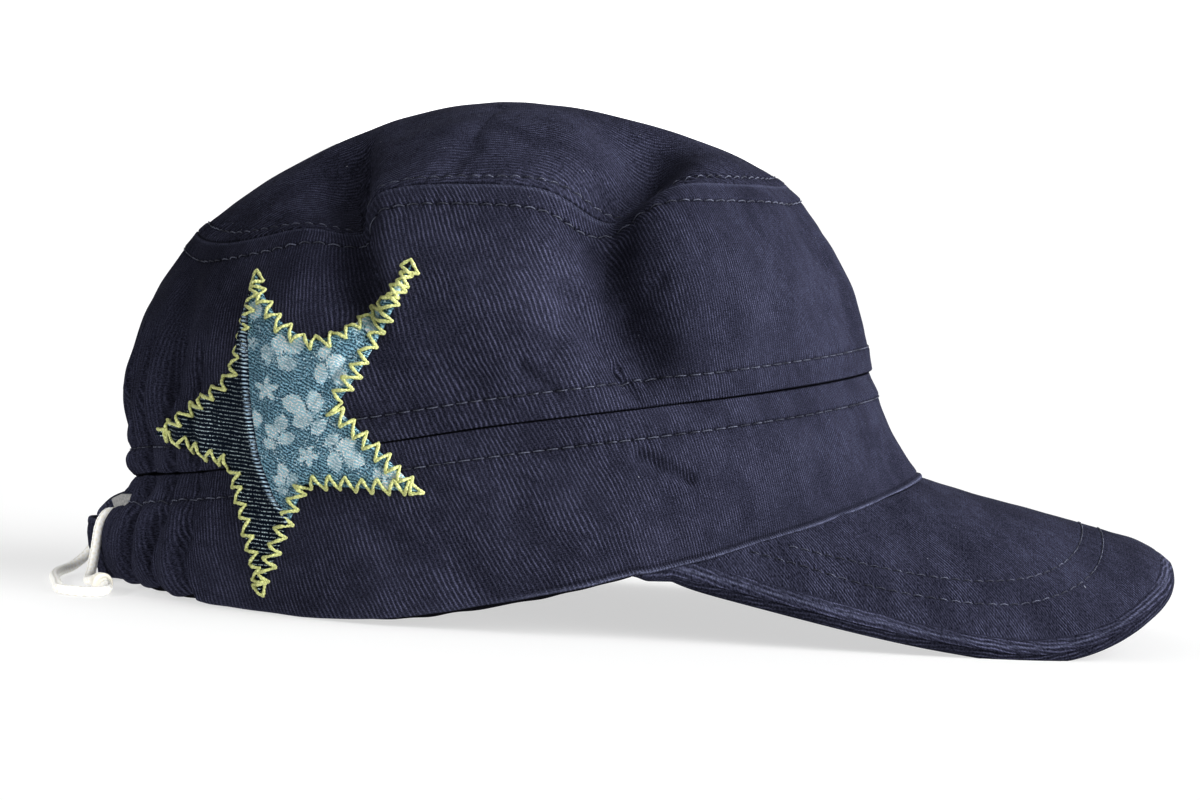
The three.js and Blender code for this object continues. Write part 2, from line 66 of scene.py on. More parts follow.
def make_camera():
    data = bpy.data.cameras.new("camera")
    data.lens = CAMERA["lens"]
    data.sensor_width = 36
    data.clip_end = 20
    camera = bpy.data.objects.new("camera", data)
    bpy.context.scene.collection.objects.link(camera)
    place = Vector(CAMERA["place"]) * MM
    forward = (Vector(CAMERA["aim"]) * MM - place).normalized()
    level = forward.cross(Vector((0, 0, 1))).normalized()
    upright = level.cross(forward)
    turn = math.radians(CAMERA["roll"])
    right = level * math.cos(turn) + upright * math.sin(turn)
    up = right.cross(forward)
    axes = Matrix((right, up, -forward)).transposed().to_4x4()
    camera.matrix_world = Matrix.Translation(place) @ axes
    bpy.context.scene.camera = camera


make_camera()

# ---- Small tools ----


def smooth(low, high, value):
    share = np.clip((np.asarray(value, float) - low) / (high - low), 0, 1)
    return share * share * (3 - 2 * share)


def bell(value, width):
    return np.exp(-((np.asarray(value, float) / width) ** 2))


def unit(vectors):
    length = np.linalg.norm(vectors, axis=-1, keepdims=True)
    return vectors / np.maximum(length, 1e-9)


def table(names, rows):
    """A table as a dict of its named columns."""
    return dict(zip(names.split(), np.array(rows, float).T))


def read(rows, key, column, value):
    """A smooth curve through one column of a table, read at values of its key column."""
    keys, values = rows[key], rows[column]
    before = np.maximum(np.arange(len(keys)) - 1, 0)
    after = np.minimum(np.arange(len(keys)) + 1, len(keys) - 1)
    slopes = (values[after] - values[before]) / (keys[after] - keys[before])
    at = np.clip(value, keys[0], keys[-1])
    i = np.clip(np.searchsorted(keys, at, side="right") - 1, 0, len(keys) - 2)
    width = keys[i + 1] - keys[i]
    t = (at - keys[i]) / width
    return (
        (2 * t**3 - 3 * t**2 + 1) * values[i]
        + (t**3 - 2 * t**2 + t) * slopes[i] * width
        + (3 * t**2 - 2 * t**3) * values[i + 1]
        + (t**3 - t**2) * slopes[i + 1] * width
    )


def waves(points, length, seed, count=9):
    """A smooth uneven field from -1 to 1, of about the given wavelength, always the same for a seed."""
    rng = np.random.default_rng(seed)
    ways = unit(rng.normal(size=(count, 3))) * rng.uniform(0.7, 1.4, (count, 1))
    shifts = rng.uniform(0, 2 * math.pi, count)
    total = np.zeros(points.shape[:-1])
    for way, shift in zip(ways, shifts):
        total += np.sin(points @ way * (2 * math.pi / length) + shift)
    return total / math.sqrt(count / 2) / 2


def curve_through(points, spacing):
    """Evenly spaced points on the centripetal curve through some points."""
    p = np.array(points, float)
    p = np.vstack([2 * p[0] - p[1], p, 2 * p[-1] - p[-2]])
    dense = []
    for i in range(1, len(p) - 2):
        knots = [0.0]
        for a, b in zip(p[i - 1 : i + 2], p[i : i + 3]):
            knots.append(knots[-1] + math.sqrt(np.linalg.norm(b - a)))
        t = np.linspace(knots[1], knots[2], 24, endpoint=False)[:, None]
        row = [p[i - 1], p[i], p[i + 1], p[i + 2]]
        for level in range(1, 4):
            row = [
                ((knots[k + level] - t) * row[k] + (t - knots[k]) * row[k + 1])
                / (knots[k + level] - knots[k])
                for k in range(len(row) - 1)
            ]
        dense.append(row[0])
    return even(np.vstack([*dense, p[-2][None]]), spacing)


def run_along(path):
    """The distance from the start of a path to each of its points."""
    steps = np.linalg.norm(np.diff(path, axis=0), axis=1)
    return np.concatenate([[0], np.cumsum(steps)])


def points_at(path, at):
    """Points of a path at distances from its start."""
    run = run_along(path)
    return np.stack([np.interp(at, run, column) for column in path.T], -1)


def even(path, spacing):
    """The same path with evenly spaced points."""
    length = run_along(path)[-1]
    return points_at(path, np.linspace(0, length, max(int(round(length / spacing)), 1) + 1))


# ---- Meshes ----


class Build:
    """Vertices, faces and named values per vertex, gathered from parts and made into one piece."""

    def __init__(self):
        self.points, self.faces, self.values, self.count = [], [], {}, 0

    def add(self, points, faces, **values):
        points = np.asarray(points, float).reshape(-1, 3)
        self.points.append(points)
        for face in faces:
            face = np.asarray(face, int)
            self.faces.append(face.reshape(-1, face.shape[-1]) + self.count)
        for name, value in values.items():
            self.values.setdefault(name, []).append(np.asarray(value, float))
        self.count += len(points)

    def piece(self, name, material, slot, replaces=()):
        mesh = bpy.data.meshes.new(name)
        points = np.concatenate(self.points) * MM
        loops = np.concatenate([f.ravel() for f in self.faces])
        sizes = np.concatenate([np.full(len(f), f.shape[1]) for f in self.faces])
        mesh.vertices.add(len(points))
        mesh.vertices.foreach_set("co", points.astype(np.float32).ravel())
        mesh.loops.add(len(loops))
        mesh.loops.foreach_set("vertex_index", loops.astype(np.int32))
        mesh.polygons.add(len(sizes))
        starts = np.concatenate([[0], np.cumsum(sizes)[:-1]])
        mesh.polygons.foreach_set("loop_start", starts.astype(np.int32))
        mesh.update(calc_edges=True)
        mesh.validate()
        mesh.polygons.foreach_set("use_smooth", np.ones(len(mesh.polygons), bool))
        for key, parts in self.values.items():
            values = np.concatenate(parts).astype(np.float32)
            kind = "FLOAT_VECTOR" if values.ndim == 2 else "FLOAT"
            field = "vector" if values.ndim == 2 else "value"
            attribute = mesh.attributes.new(key, kind, "POINT")
            attribute.data.foreach_set(field, values.ravel())
        mesh.materials.append(material)
        obj = bpy.data.objects.new(name, mesh)
        bpy.context.scene.collection.objects.link(obj)
        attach(obj, "root")
        if replaces:
            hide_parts(*replaces)
        return obj


def quads(rows, columns, loop=False, start=0, flip=False):
    """The faces of a grid of points, rows by columns."""
    last = columns if loop else columns - 1
    i, j = np.meshgrid(np.arange(rows - 1), np.arange(last), indexing="ij")
    k = (j + 1) % columns
    corners = [i * columns + j, i * columns + k, (i + 1) * columns + k, (i + 1) * columns + j]
    faces = np.stack(corners, -1).reshape(-1, 4) + start
    return faces[:, ::-1] if flip else faces


def fan(ring, tip):
    """Triangles from each edge of a closed ring of vertex numbers to one more vertex."""
    return np.stack([ring, np.roll(ring, -1), np.full(len(ring), tip)], -1)


def all_over(count, ribs=1.0, dye=0.0):
    """Values that are the same at all the vertices of a cloth, with no wear and no painted highlight."""
    return {"wear": np.zeros(count), "ribs": np.full(count, ribs), "dye": np.full(count, dye)}


def bridge(a, b, loop):
    """Faces between two rows of vertex numbers."""
    if loop:
        a, b = np.append(a, a[0]), np.append(b, b[0])
    return np.stack([a[:-1], a[1:], b[1:], b[:-1]], -1)


def add_shell(build, outer, inner, loop=False, **values):
    """A closed wall between an outer and an inner grid with the same columns."""
    rows, columns = outer.shape[:2]
    depth = inner.shape[0]
    first = rows * columns
    out = np.arange(first).reshape(rows, columns)
    back = first + np.arange(depth * columns).reshape(depth, columns)
    faces = [
        quads(rows, columns, loop),
        quads(depth, columns, loop, first, flip=True),
        bridge(back[0], out[0], loop),
        bridge(out[-1], back[-1], loop),
    ]
    if not loop:
        faces += [end_faces(out[:, 0], back[:, 0]), end_faces(back[:, -1], out[:, -1])]
    points = np.concatenate([outer.reshape(-1, 3), inner.reshape(-1, 3)])
    build.add(points, faces, **values)


def end_faces(a, b):
    """Closes the end of a wall whose two sides have unlike numbers of rows, with triangles."""
    faces, i, j = [], 0, 0
    while i < len(a) - 1 or j < len(b) - 1:
        ahead = (i + 1) * (len(b) - 1) <= (j + 1) * (len(a) - 1)
        if i < len(a) - 1 and (ahead or j == len(b) - 1):
            faces.append((a[i + 1], a[i], b[j]))
            i += 1
        else:
            faces.append((a[i], b[j], b[j + 1]))
            j += 1
    return np.array(faces)


def tube(build, path, radius, ups, sides, pattern=None):
    """A thread or cord along a path. radius may change along it, and pattern(along, turn) swells it."""
    along = unit(np.gradient(path, axis=0))
    up = unit(ups - (ups * along).sum(1, keepdims=True) * along)
    side = np.cross(along, up)
    turns = np.arange(sides) / sides * 2 * math.pi
    run = run_along(path)
    grid_run, grid_turn = np.meshgrid(run, turns, indexing="ij")
    swell = pattern(grid_run, grid_turn) if pattern else 0
    radii = (np.broadcast_to(radius, len(path))[:, None] + swell)[..., None]
    ring = up[:, None] * np.cos(turns)[:, None] + side[:, None] * np.sin(turns)[:, None]
    points = path[:, None] + ring * radii
    count = len(path)
    first, last = np.arange(sides), np.arange(sides) + (count - 1) * sides
    faces = [quads(count, sides, loop=True, flip=True), fan(first, count * sides)]
    faces.append(fan(last, count * sides + 1)[:, ::-1])
    thread = np.stack([grid_run, grid_turn, np.zeros_like(grid_run)], -1).reshape(-1, 3)
    thread = np.vstack([thread, [[0, 0, 0], [run[-1], 0, 0]]])
    build.add(np.vstack([points.reshape(-1, 3), path[:1], path[-1:]]), faces, thread=thread)


# ---- Materials ----


class Shader:
    """A material and short ways to add nodes to it."""

    def __init__(self, name, roughness, specular):
        self.material = bpy.data.materials.new(name)
        self.material.use_nodes = True
        self.tree = self.material.node_tree
        self.surface = self.tree.nodes["Principled BSDF"]
        self.surface.inputs["Roughness"].default_value = roughness
        self.surface.inputs["Specular IOR Level"].default_value = specular

    def node(self, kind, inputs=None, **settings):
        made = self.tree.nodes.new(kind)
        for key, value in settings.items():
            setattr(made, key, value)
        for key, value in (inputs or {}).items():
            self.put(value, made.inputs[key])
        return made

    def put(self, value, socket):
        if isinstance(value, bpy.types.NodeSocket):
            self.tree.links.new(value, socket)
        else:
            socket.default_value = value

    def math(self, operation, a, b=0.0, c=0.0):
        return self.node("ShaderNodeMath", {0: a, 1: b, 2: c}, operation=operation).outputs[0]

    def add(self, a, b):
        return self.math("ADD", a, b)

    def times(self, a, b):
        return self.math("MULTIPLY", a, b)

    def fit(self, value, by, plus):
        return self.math("MULTIPLY_ADD", value, by, plus)

    def values(self, name):
        """A named value per vertex, as a vector and as its three parts."""
        vector = self.node("ShaderNodeAttribute", attribute_name=name).outputs["Vector"]
        parts = self.node("ShaderNodeSeparateXYZ", {0: vector}).outputs
        return vector, parts[0], parts[1], parts[2]

    def value(self, name):
        return self.node("ShaderNodeAttribute", attribute_name=name).outputs["Fac"]

    def vector(self, x, y):
        return self.node("ShaderNodeCombineXYZ", {0: x, 1: y}).outputs[0]

    def noise(self, vector, scale, detail=2.0, roughness=0.5):
        inputs = {"Vector": vector, "Scale": scale, "Detail": detail, "Roughness": roughness}
        return self.node("ShaderNodeTexNoise", inputs).outputs["Fac"]

    def drift(self, vector, scale, detail=2.0, roughness=0.5):
        """A noise about zero."""
        return self.math("SUBTRACT", self.noise(vector, scale, detail, roughness), 0.5)

    def ramp(self, value, low, high, to_low=0.0, to_high=1.0):
        inputs = {"Value": value, "From Min": low, "From Max": high}
        inputs.update({"To Min": to_low, "To Max": to_high})
        return self.node("ShaderNodeMapRange", inputs, interpolation_type="SMOOTHSTEP").outputs[0]

    def sine(self, value, period):
        """A wave from 0 to 1."""
        return self.fit(self.math("SINE", self.times(value, 2 * math.pi / period)), 0.5, 0.5)

    def helix(self, along, turn):
        """A wave from -1 to 1 that winds round a thread."""
        return self.math("SINE", self.add(along, turn))

    def mix(self, share, a, b):
        made = self.node("ShaderNodeMix", data_type="RGBA")
        self.put(share, made.inputs["Factor"])
        for socket, colour in ((made.inputs[6], a), (made.inputs[7], b)):
            self.put(colour if isinstance(colour, bpy.types.NodeSocket) else (*colour, 1.0), socket)
        return made.outputs[2]

    def finish(self, colour, height, depth):
        """Sets the colour, and a bump whose height of 1 is depth in millimetres."""
        self.put(colour, self.surface.inputs["Base Color"])
        bump = self.node("ShaderNodeBump", {"Distance": depth * MM, "Height": height})
        self.put(bump.outputs[0], self.surface.inputs["Normal"])
        return self.material


def twill(name, valley, crest, faded_and_highlight, pitch=1.12, deep=0.24):
    """Ribbed cotton twill, whose rib crests are painted lighter and rib valleys darker, as painted
    highlight and painted shade. It reads four values of its mesh: "cloth", the place on the cloth in mm,
    "ribs", how strong the ribs are, one for real wear and painted highlight, which pales the cloth, and
    one for painted shade, which darkens it in the seams and other shaded places."""
    s = Shader(name, roughness=0.9, specular=0.03)
    place, across, up, _ = s.values("cloth")
    sway, shake = s.drift(place, 0.05, 1.0), s.drift(place, 0.45)
    across = s.add(across, s.add(s.times(sway, 3.0), s.times(shake, 0.5)))
    rib = s.math("POWER", s.sine(across, pitch), 2.0)
    weft = s.sine(s.add(up, s.times(rib, 0.2)), 0.56)
    patchy = s.ramp(s.noise(place, 0.09, 3.0, 0.65), 0.36, 0.64, 0.3, 1.0)
    strong = s.times(patchy, s.value("ribs"))
    broken = s.noise(s.vector(s.times(across, 1.9), s.times(up, 0.55)), 1.0, 3.0, 0.7)
    fibre = s.noise(place, 2.6, 3.0, 0.75)
    ribbed = s.times(s.times(rib, strong), s.ramp(broken, 0.34, 0.6, 0.15, 1.0))
    ribbed = s.times(ribbed, s.fit(weft, 0.5, 0.62))
    height = s.add(ribbed, s.add(s.times(weft, 0.12), s.times(fibre, 0.4)))
    # The rib crests are painted lighter and the valleys darker: painted highlight and painted shade. The
    # fibre and drift noise vary the tone at random.
    tone = s.add(s.times(ribbed, 0.95), s.times(s.ramp(fibre, 0.34, 0.68), 0.36))
    tone = s.add(tone, s.times(s.drift(place, 0.035, 3.0, 0.6), 0.34))
    colour = s.mix(tone, valley, crest)
    # The paler faded colour is real wear at some edges and a painted highlight on rolled edges and along
    # seam edges.
    wear = s.times(s.value("wear"), s.ramp(s.noise(place, 0.9, 3.0, 0.7), 0.25, 0.65))
    wear = s.times(wear, s.fit(weft, 0.6, 0.55))
    colour = s.mix(s.times(wear, 0.75), colour, faded_and_highlight)
    # Painted shade: the colour is drawn towards a darker navy in seam slits, stitch grooves, the visor's
    # edge bead and other shaded places.
    colour = s.mix(s.value("dye"), colour, tuple(part * 0.25 for part in valley))
    lint = s.ramp(s.noise(place, 1.1, 1.0, 0.3), 0.81, 0.85)
    colour = s.mix(s.times(lint, 0.5), colour, (0.5, 0.52, 0.58))
    return s.finish(colour, height, depth=deep)


def sewing_thread():
    s = Shader("navy_thread", roughness=0.6, specular=0.25)
    _, along, turn, _ = s.values("thread")
    twist = s.helix(s.times(along, 9.0), s.times(turn, 2.0))
    where = s.node("ShaderNodeTexCoord").outputs["Object"]
    wear_and_glint = s.ramp(s.noise(where, 210.0), 0.42, 0.58)
    # Pale stripes along the twist are a painted highlight, stronger on some stitches than others; the dark
    # rest of the thread is painted shade.
    shine = s.times(s.fit(s.ramp(twist, -1.0, 1.0), 0.5, 0.5), s.fit(wear_and_glint, 0.7, 0.3))
    colour = s.mix(shine, (0.014, 0.015, 0.025), (0.21, 0.225, 0.3))
    return s.finish(colour, twist, depth=0.04)


def zigzag_thread():
    s = Shader("zigzag_thread", roughness=0.5, specular=0.35)
    _, along, turn, _ = s.values("thread")
    twist = s.helix(s.times(along, 7.0), turn)
    fray = s.noise(s.vector(s.times(along, 0.8), s.times(turn, 2.2)), 2.4, 3.0, 0.7)
    # The twist's crests are painted paler and its grooves darker: painted highlight and painted shade. The
    # fray noise varies the tone at random.
    tone = s.add(s.times(s.ramp(twist, -1.0, 1.0), 0.3), s.ramp(fray, 0.32, 0.66, 0.0, 0.8))
    colour = s.mix(tone, (0.46, 0.5, 0.14), (0.92, 0.94, 0.52))
    return s.finish(colour, s.add(twist, fray), depth=0.07)


def denim():
    """Raw dark denim: rows of short pale dashes, a row to each ridge, and beads where it is rubbed."""
    s = Shader("denim", roughness=0.9, specular=0.04)
    place, x, z, _ = s.values("cloth")
    row = s.sine(s.add(z, s.drift(place, 0.11)), 1.0)
    dash = s.noise(s.vector(s.times(x, 2.4), s.times(z, 2.0)), 1.0, 2.0, 0.75)
    fine = s.noise(place, 4.5, 2.0, 0.7)
    line = s.times(s.ramp(row, 0.62, 0.9), s.ramp(dash, 0.45, 0.57))
    line = s.times(line, s.ramp(fine, 0.34, 0.56, 0.3, 1.0))
    wear_and_glint = s.ramp(s.noise(place, 0.09), 0.35, 0.65, 0.45, 1.0)
    beads = s.times(s.value("wear"), s.ramp(s.sine(z, 0.92), 0.35, 0.8))
    colour = s.mix(beads, (0.006, 0.012, 0.025), (0.6, 0.78, 0.95))
    colour = s.mix(s.times(line, wear_and_glint), colour, (0.8, 0.95, 1.0))
    return s.finish(colour, s.add(row, s.times(fine, 0.4)), depth=0.28)


def flowered():
    """Teal jersey with a pale print. Its mesh has "print", which is 1 on a motif."""
    s = Shader("flowered_cotton", roughness=0.85, specular=0.08)
    place, x, z, _ = s.values("cloth")
    swirl = s.times(s.drift(place, 0.22), 2.6)
    loops = s.sine(s.add(s.add(z, s.times(x, 0.35)), swirl), 0.78)
    knots = s.noise(s.vector(s.times(x, 1.9), s.times(z, 2.3)), 1.0, 3.0, 0.8)
    grain = s.ramp(s.add(s.times(loops, 0.16), s.times(knots, 1.3)), 0.62, 0.85)
    shade = s.ramp(s.noise(place, 0.1, 3.0, 0.65), 0.3, 0.7)
    base = s.mix(grain, (0.012, 0.06, 0.1), (0.42, 0.7, 0.85))
    base = s.mix(s.times(shade, 0.3), base, (0.12, 0.22, 0.29))
    flecks = s.ramp(s.noise(place, 1.5), 0.65, 0.73)
    base = s.mix(s.times(flecks, 0.85), base, (0.85, 0.96, 1.0))
    ragged = s.drift(s.vector(s.times(x, 1.6), z), 1.4, 3.0, 0.7)
    on_motif = s.ramp(s.add(s.value("print"), s.times(ragged, 1.9)), 0.46, 0.58)
    faint = s.ramp(s.noise(place, 0.16), 0.38, 0.54, 0.6, 1.0)
    motif = s.mix(grain, (0.42, 0.74, 0.85), (1.0, 1.0, 1.0))
    return s.finish(s.mix(s.times(on_motif, faint), base, motif), grain, depth=0.2)


def cord_cotton():
    s = Shader("ivory_cord", roughness=0.85, specular=0.1)
    _, along, turn, _ = s.values("thread")
    wound, round_it = s.times(along, 3.2), s.times(turn, 4.0)
    other_way = s.math("SINE", s.math("SUBTRACT", wound, round_it))
    strand = s.math("MAXIMUM", s.helix(wound, round_it), other_way)
    fuzz = s.noise(s.vector(s.times(along, 2.0), s.times(turn, 3.0)), 2.0, 3.0, 0.7)
    # Painted shade: the braid is a little darker where its strands dip between each other. The fuzz varies
    # the tone at random.
    tone = s.ramp(s.add(strand, s.times(fuzz, 0.6)), -0.2, 1.1)
    colour = s.mix(tone, (0.93, 0.9, 0.81), (0.99, 0.985, 0.96))
    return s.finish(colour, s.add(strand, fuzz), depth=0.05)


def plain(name, low, high, roughness, scale, depth):
    """A plain finish with slight mottling: moulded plastic or tape."""
    s = Shader(name, roughness=roughness, specular=0.4)
    mottle = s.noise(s.node("ShaderNodeTexCoord").outputs["Object"], scale * 1000, 3.0, 0.6)
    return s.finish(s.mix(s.ramp(mottle, 0.3, 0.7), low, high), mottle, depth=depth)


# Colours of the twill: rib valleys darkened as painted shade, rib crests lightened as painted highlight,
# and the pale colour of its worn edges and painted highlights.
NAVY_COLOURS = (0.0075, 0.0078, 0.015), (0.124, 0.129, 0.202), (0.205, 0.22, 0.32)
BLACK_COLOURS = (0.004, 0.004, 0.006), (0.02, 0.02, 0.028), (0.04, 0.04, 0.05)
NAVY = twill("navy_twill", *NAVY_COLOURS)
VISOR_TWILL = twill("visor_twill", *NAVY_COLOURS, 0.6, 0.14)
LINING = twill("black_cotton", *BLACK_COLOURS, 0.6, 0.12)
THREAD = sewing_thread()
ZIGZAG = zigzag_thread()
DENIM = denim()
FLOWERED = flowered()
CORD_COTTON = cord_cotton()
PLASTIC = plain("ivory_plastic", (0.88, 0.85, 0.75), (0.93, 0.9, 0.82), 0.34, 0.9, 0.02)
TAPE = plain("grey_tape", (0.22, 0.22, 0.22), (0.36, 0.355, 0.35), 0.5, 1.6, 0.08)

# ---- Drawcord ----

CORD = 2.6  # diameter
LAID = CORD / 2 + 0.05  # height of the cord's middle where it lies on the ground
BRAID = {"strands": 4, "rate": 3.2, "rise": 0.06}
# The routes are those of the CAD source: to the clasp, and from it to the other exit.
UPPER_ROUTE = [
    (-128.2, -1.9, 17.0), (-130.1, -3.4, 18.0), (-132.1, -5.2, 18.3), (-133.8, -6.8, 17.6),
    (-135.1, -8.0, 16.1), (-135.8, -8.8, 14.1), (-136.1, -9.3, 11.8), (-136.3, -9.8, 9.4),
    (-136.5, -10.6, 7.0), (-136.7, -11.9, 4.8), (-136.8, -13.7, 3.0), (-136.9, -16.0, 1.8),
    (-136.9, -18.6, 1.4), (-136.6, -22.0, LAID), (-135.6, -26.0, 1.7), (-133.8, -30.8, 2.5),
]
LOWER_ROUTE = [
    (-130.4, -40.4, 2.4), (-129.6, -43.3, 1.9), (-130.0, -46.2, 1.6), (-131.6, -48.5, LAID),
    (-134.1, -49.9, LAID), (-136.9, -50.0, LAID), (-139.4, -48.8, LAID), (-141.2, -46.5, LAID),
    (-142.0, -43.5, LAID), (-142.5, -39.4, LAID), (-143.2, -34.2, LAID), (-144.2, -28.2, LAID),
    (-145.2, -22.0, LAID), (-145.9, -15.6, LAID), (-146.0, -9.2, LAID), (-145.4, -3.2, 1.5),
    (-143.9, 1.8, 1.9), (-141.9, 5.6, 3.3), (-139.7, 8.0, 5.7), (-137.9, 9.3, 8.8),
    (-136.6, 9.5, 11.7), (-135.8, 8.9, 14.1), (-135.1, 8.0, 16.1), (-133.8, 6.8, 17.6),
    (-132.1, 5.2, 18.3), (-130.1, 3.4, 18.0), (-128.2, 1.9, 17.0),
]


def braid(along, turn):
    """Two sets of strands that cross over and under each other round the cord."""
    wound, round_it = BRAID["rate"] * along, BRAID["strands"] * turn
    return BRAID["rise"] * (np.maximum(np.sin(wound + round_it), np.sin(wound - round_it)) - 0.75)


def carried_ups(path):
    """Directions across a path that turn with it and never twist."""
    up = np.array([0.1, 0.2, 1.0])
    ups = []
    for way in unit(np.gradient(path, axis=0)):
        up = unit(up - way * (up @ way))
        ups.append(up)
    return np.array(ups)


def drawcord(name, route):
    path = curve_through(route, 0.22 if FINE else 0.5)
    build = Build()
    tube(build, path, CORD / 2, carried_ups(path), sides=26, pattern=braid)
    piece = build.piece(name + "_braid", CORD_COTTON, "braided_cord", [name])
    return piece, path


upper_cord, upper_path = drawcord("drawcord_upper", UPPER_ROUTE)
lower_cord, lower_path = drawcord("drawcord_lower", LOWER_ROUTE)

# ---- Clasp ----

# Radius and distance from the upper cord, in the clasp's own frame.
SOCKET_PROFILE = [
    (0.0, 0.0), (1.3, 0.0), (1.5, 0.12), (1.62, 0.4), (1.72, 1.1), (1.92, 2.0), (2.18, 2.9), (2.36, 3.8),
    (2.42, 4.6), (2.42, 5.6), (2.38, 6.1), (2.2, 6.24), (1.5, 6.24), (1.5, 2.6), (0.0, 2.6),
]
PLUG_PROFILE = [
    (0.0, 2.9), (1.2, 2.9), (1.2, 6.5), (2.36, 6.5), (2.56, 6.62), (2.62, 6.95), (2.56, 7.5),
    (2.36, 7.7), (1.98, 7.78), (1.72, 8.1), (1.58, 8.8), (1.5, 9.4), (1.34, 9.6), (0.0, 9.6),
]
CLASP_SIDES = 48
TONGUE = {"low": 3.0, "high": 6.24, "half": 1.15, "groove": 0.16, "deep": 0.34}


def clasp_axes():
    start = np.array(UPPER_ROUTE[-1])
    along = unit(np.array(LOWER_ROUTE[0]) - start)
    up = np.array([0.0, -0.35, 1.0])
    up = unit(up - along * (up @ along))
    return start + along * SEAM_GAP, along, up, np.cross(along, up)


def turned(profile, cut=None):
    """A turned piece of the clasp. cut(along, sideways) gives how far its surface sinks in."""
    start, along, up, side = clasp_axes()
    points = []
    for (r0, s0), (r1, s1) in zip(profile, profile[1:]):
        steps = max(int(math.hypot(r1 - r0, s1 - s0) / 0.12), 1)
        points += [(r0 + (r1 - r0) * t / steps, s0 + (s1 - s0) * t / steps) for t in range(steps)]
    points.append(profile[-1])
    radius, distance = np.array(points).T
    angle = np.arange(CLASP_SIDES) / CLASP_SIDES * 2 * math.pi
    radii = np.repeat(radius[:, None], CLASP_SIDES, 1)
    if cut:
        sideways = radii * np.sin(angle)
        front = np.cos(angle) > 0.1
        radii = radii - cut(distance[:, None], sideways) * front * (radii > 1.55)
    ring = up * np.cos(angle)[:, None] + side * np.sin(angle)[:, None]
    grid = start + along * distance[:, None, None] + ring * radii[..., None]
    build = Build()
    build.add(grid, [quads(len(radius), CLASP_SIDES, loop=True)])
    return build


def tongue_groove(distance, sideways):
    """An arch-shaped groove that sets off the tongue in the socket's window."""
    arch = TONGUE["low"] + 1.0
    top = np.hypot(sideways, np.minimum(distance - arch, 0) * 1.1)
    off = np.abs(top - TONGUE["half"])
    in_window = (distance > TONGUE["low"] - 0.4) & (distance < TONGUE["high"])
    return TONGUE["deep"] * bell(off, TONGUE["groove"]) * in_window


socket = turned(SOCKET_PROFILE, tongue_groove).piece(
    "clasp_socket_body", PLASTIC, "clasp_plastic", ["clasp_socket"]
)
plug = turned(PLUG_PROFILE).piece("clasp_plug_body", PLASTIC, "clasp_plastic", ["clasp_plug"])

# ---- Crown: the plain shape, as in the CAD source ----

HEM, BAND_SEAM, TOP_SEAM = 0, 1, 2  # levels of the crown's seams; the apex is level 3
BAND, SIDE, TOP = 0, 1, 2  # its panels, each named by the level it starts at
APEX = (-32.3, 0.0, 128.4)
BAND_END = 174  # degrees from the front to each end of the open band
PER_DEGREE = 4 / 3  # about how far along the band a degree is at its ends, in mm
BAND_TALL = 35  # about its mean height, in mm
CASING, CLOTH = 2.0, 1.2  # walls of the band and of the other panels

# The plan of each seam: an oval from back to front, wider behind its middle by the egg share.
RINGS = table(
    "back front half egg",
    [(-131, 73.4, 75.5, 0.05), (-129.2, 58.8, 73.5, 0.05), (-115.4, 34.2, 59, 0.03)],
)
# The height of each seam and how far the panel above it bulges, by the angle from the front.
HEIGHTS = table(
    "deg hem seam top band_bulge side_bulge",
    [
        (0, 39.0, 65.6, 112.4, -1.6, 4.2),
        (15, 37.0, 65.2, 112.4, -1.2, 4.4),
        (30, 33.0, 63.7, 112.6, -0.5, 4.7),
        (45, 28.4, 61.3, 112.4, 0.5, 5.0),
        (60, 22.6, 58.2, 112.0, 1.6, 5.5),
        (75, 14.6, 54.6, 110.2, 2.2, 6.0),
        (90, 7.6, 50.3, 109.0, 2.2, 6.3),
        (105, 2.2, 45.0, 107.2, 2.0, 6.6),
        (120, 0.0, 39.8, 100.6, 1.8, 7.0),
        (135, 0.0, 34.2, 92.8, 2.0, 7.2),
        (150, 0.4, 31.0, 89.4, 2.6, 7.4),
        (165, 0.6, 28.8, 89.8, 3.2, 7.6),
        (180, 0.4, 26.2, 90.4, 3.2, 7.6),
    ],
)
# Folds: each a valley whose line in side view goes from foot to head, and turns over the top.
FOLDS = table(
    "side foot_x foot_z head_x head_z turn behind ahead depth",
    [
        (-1, -65.6, 66, -76.1, 121, 0, 12, 3.5, 10.0),
        (-1, 5.0, 54, -15.5, 126, 14, 13, 8.5, 13.5),
        (-1, -117.3, 40, -116.5, 92, 0, 3, 5, 2.4),
        (-1, 51, 72, 41, 104, 0, 6, 6, 1.2),
        (1, -58, 64, -66, 121, 0, 12, 5, 6.0),
        (1, 7, 56, -13, 126, 10, 11, 11, 6.0),
        (1, -115, 42, -112, 92, 0, 4, 4, 2.2),
    ],
)
FOLD_FADE = {"foot": 0.3, "inner": -2, "outer": 34, "turn_from": 104, "turn_to": 122}
# The gathers at the back: where they start and are full, and degrees from fold to fold. They fade out
# at level "top". The seam is "drawn" in, and so is the "waist" below it.
GATHERS = {"start": 128, "full": 150, "period": 8.6, "depth": 1.3, "top": 1.3, "drawn": 1.2, "waist": 1.4}

VISOR = {"root": 73.4, "ridge": 38.4, "fall": 0.216, "curled": 128, "curl": 0.03, "tuck": 1.0}
VISOR.update(reach=138.4, half=69.0, power=3.4)  # its plan
VISOR_ARCH = table("x radius", [(-10, 84), (40, 85), (80, 81), (110, 73.2), (140, 68.6)])
TEMPLE = {"deg": 70.4, "eases": 2.4}  # where the hem leaves the visor


def visor_top(x, y):
    ridge = VISOR["ridge"] - (x - VISOR["root"]) * VISOR["fall"]
    radius = read(VISOR_ARCH, "x", "radius", x)
    drop = VISOR["curl"] * np.maximum(x - VISOR["curled"], 0) ** 2
    return ridge - (radius - np.sqrt(np.maximum(radius**2 - y**2, 0))) - drop


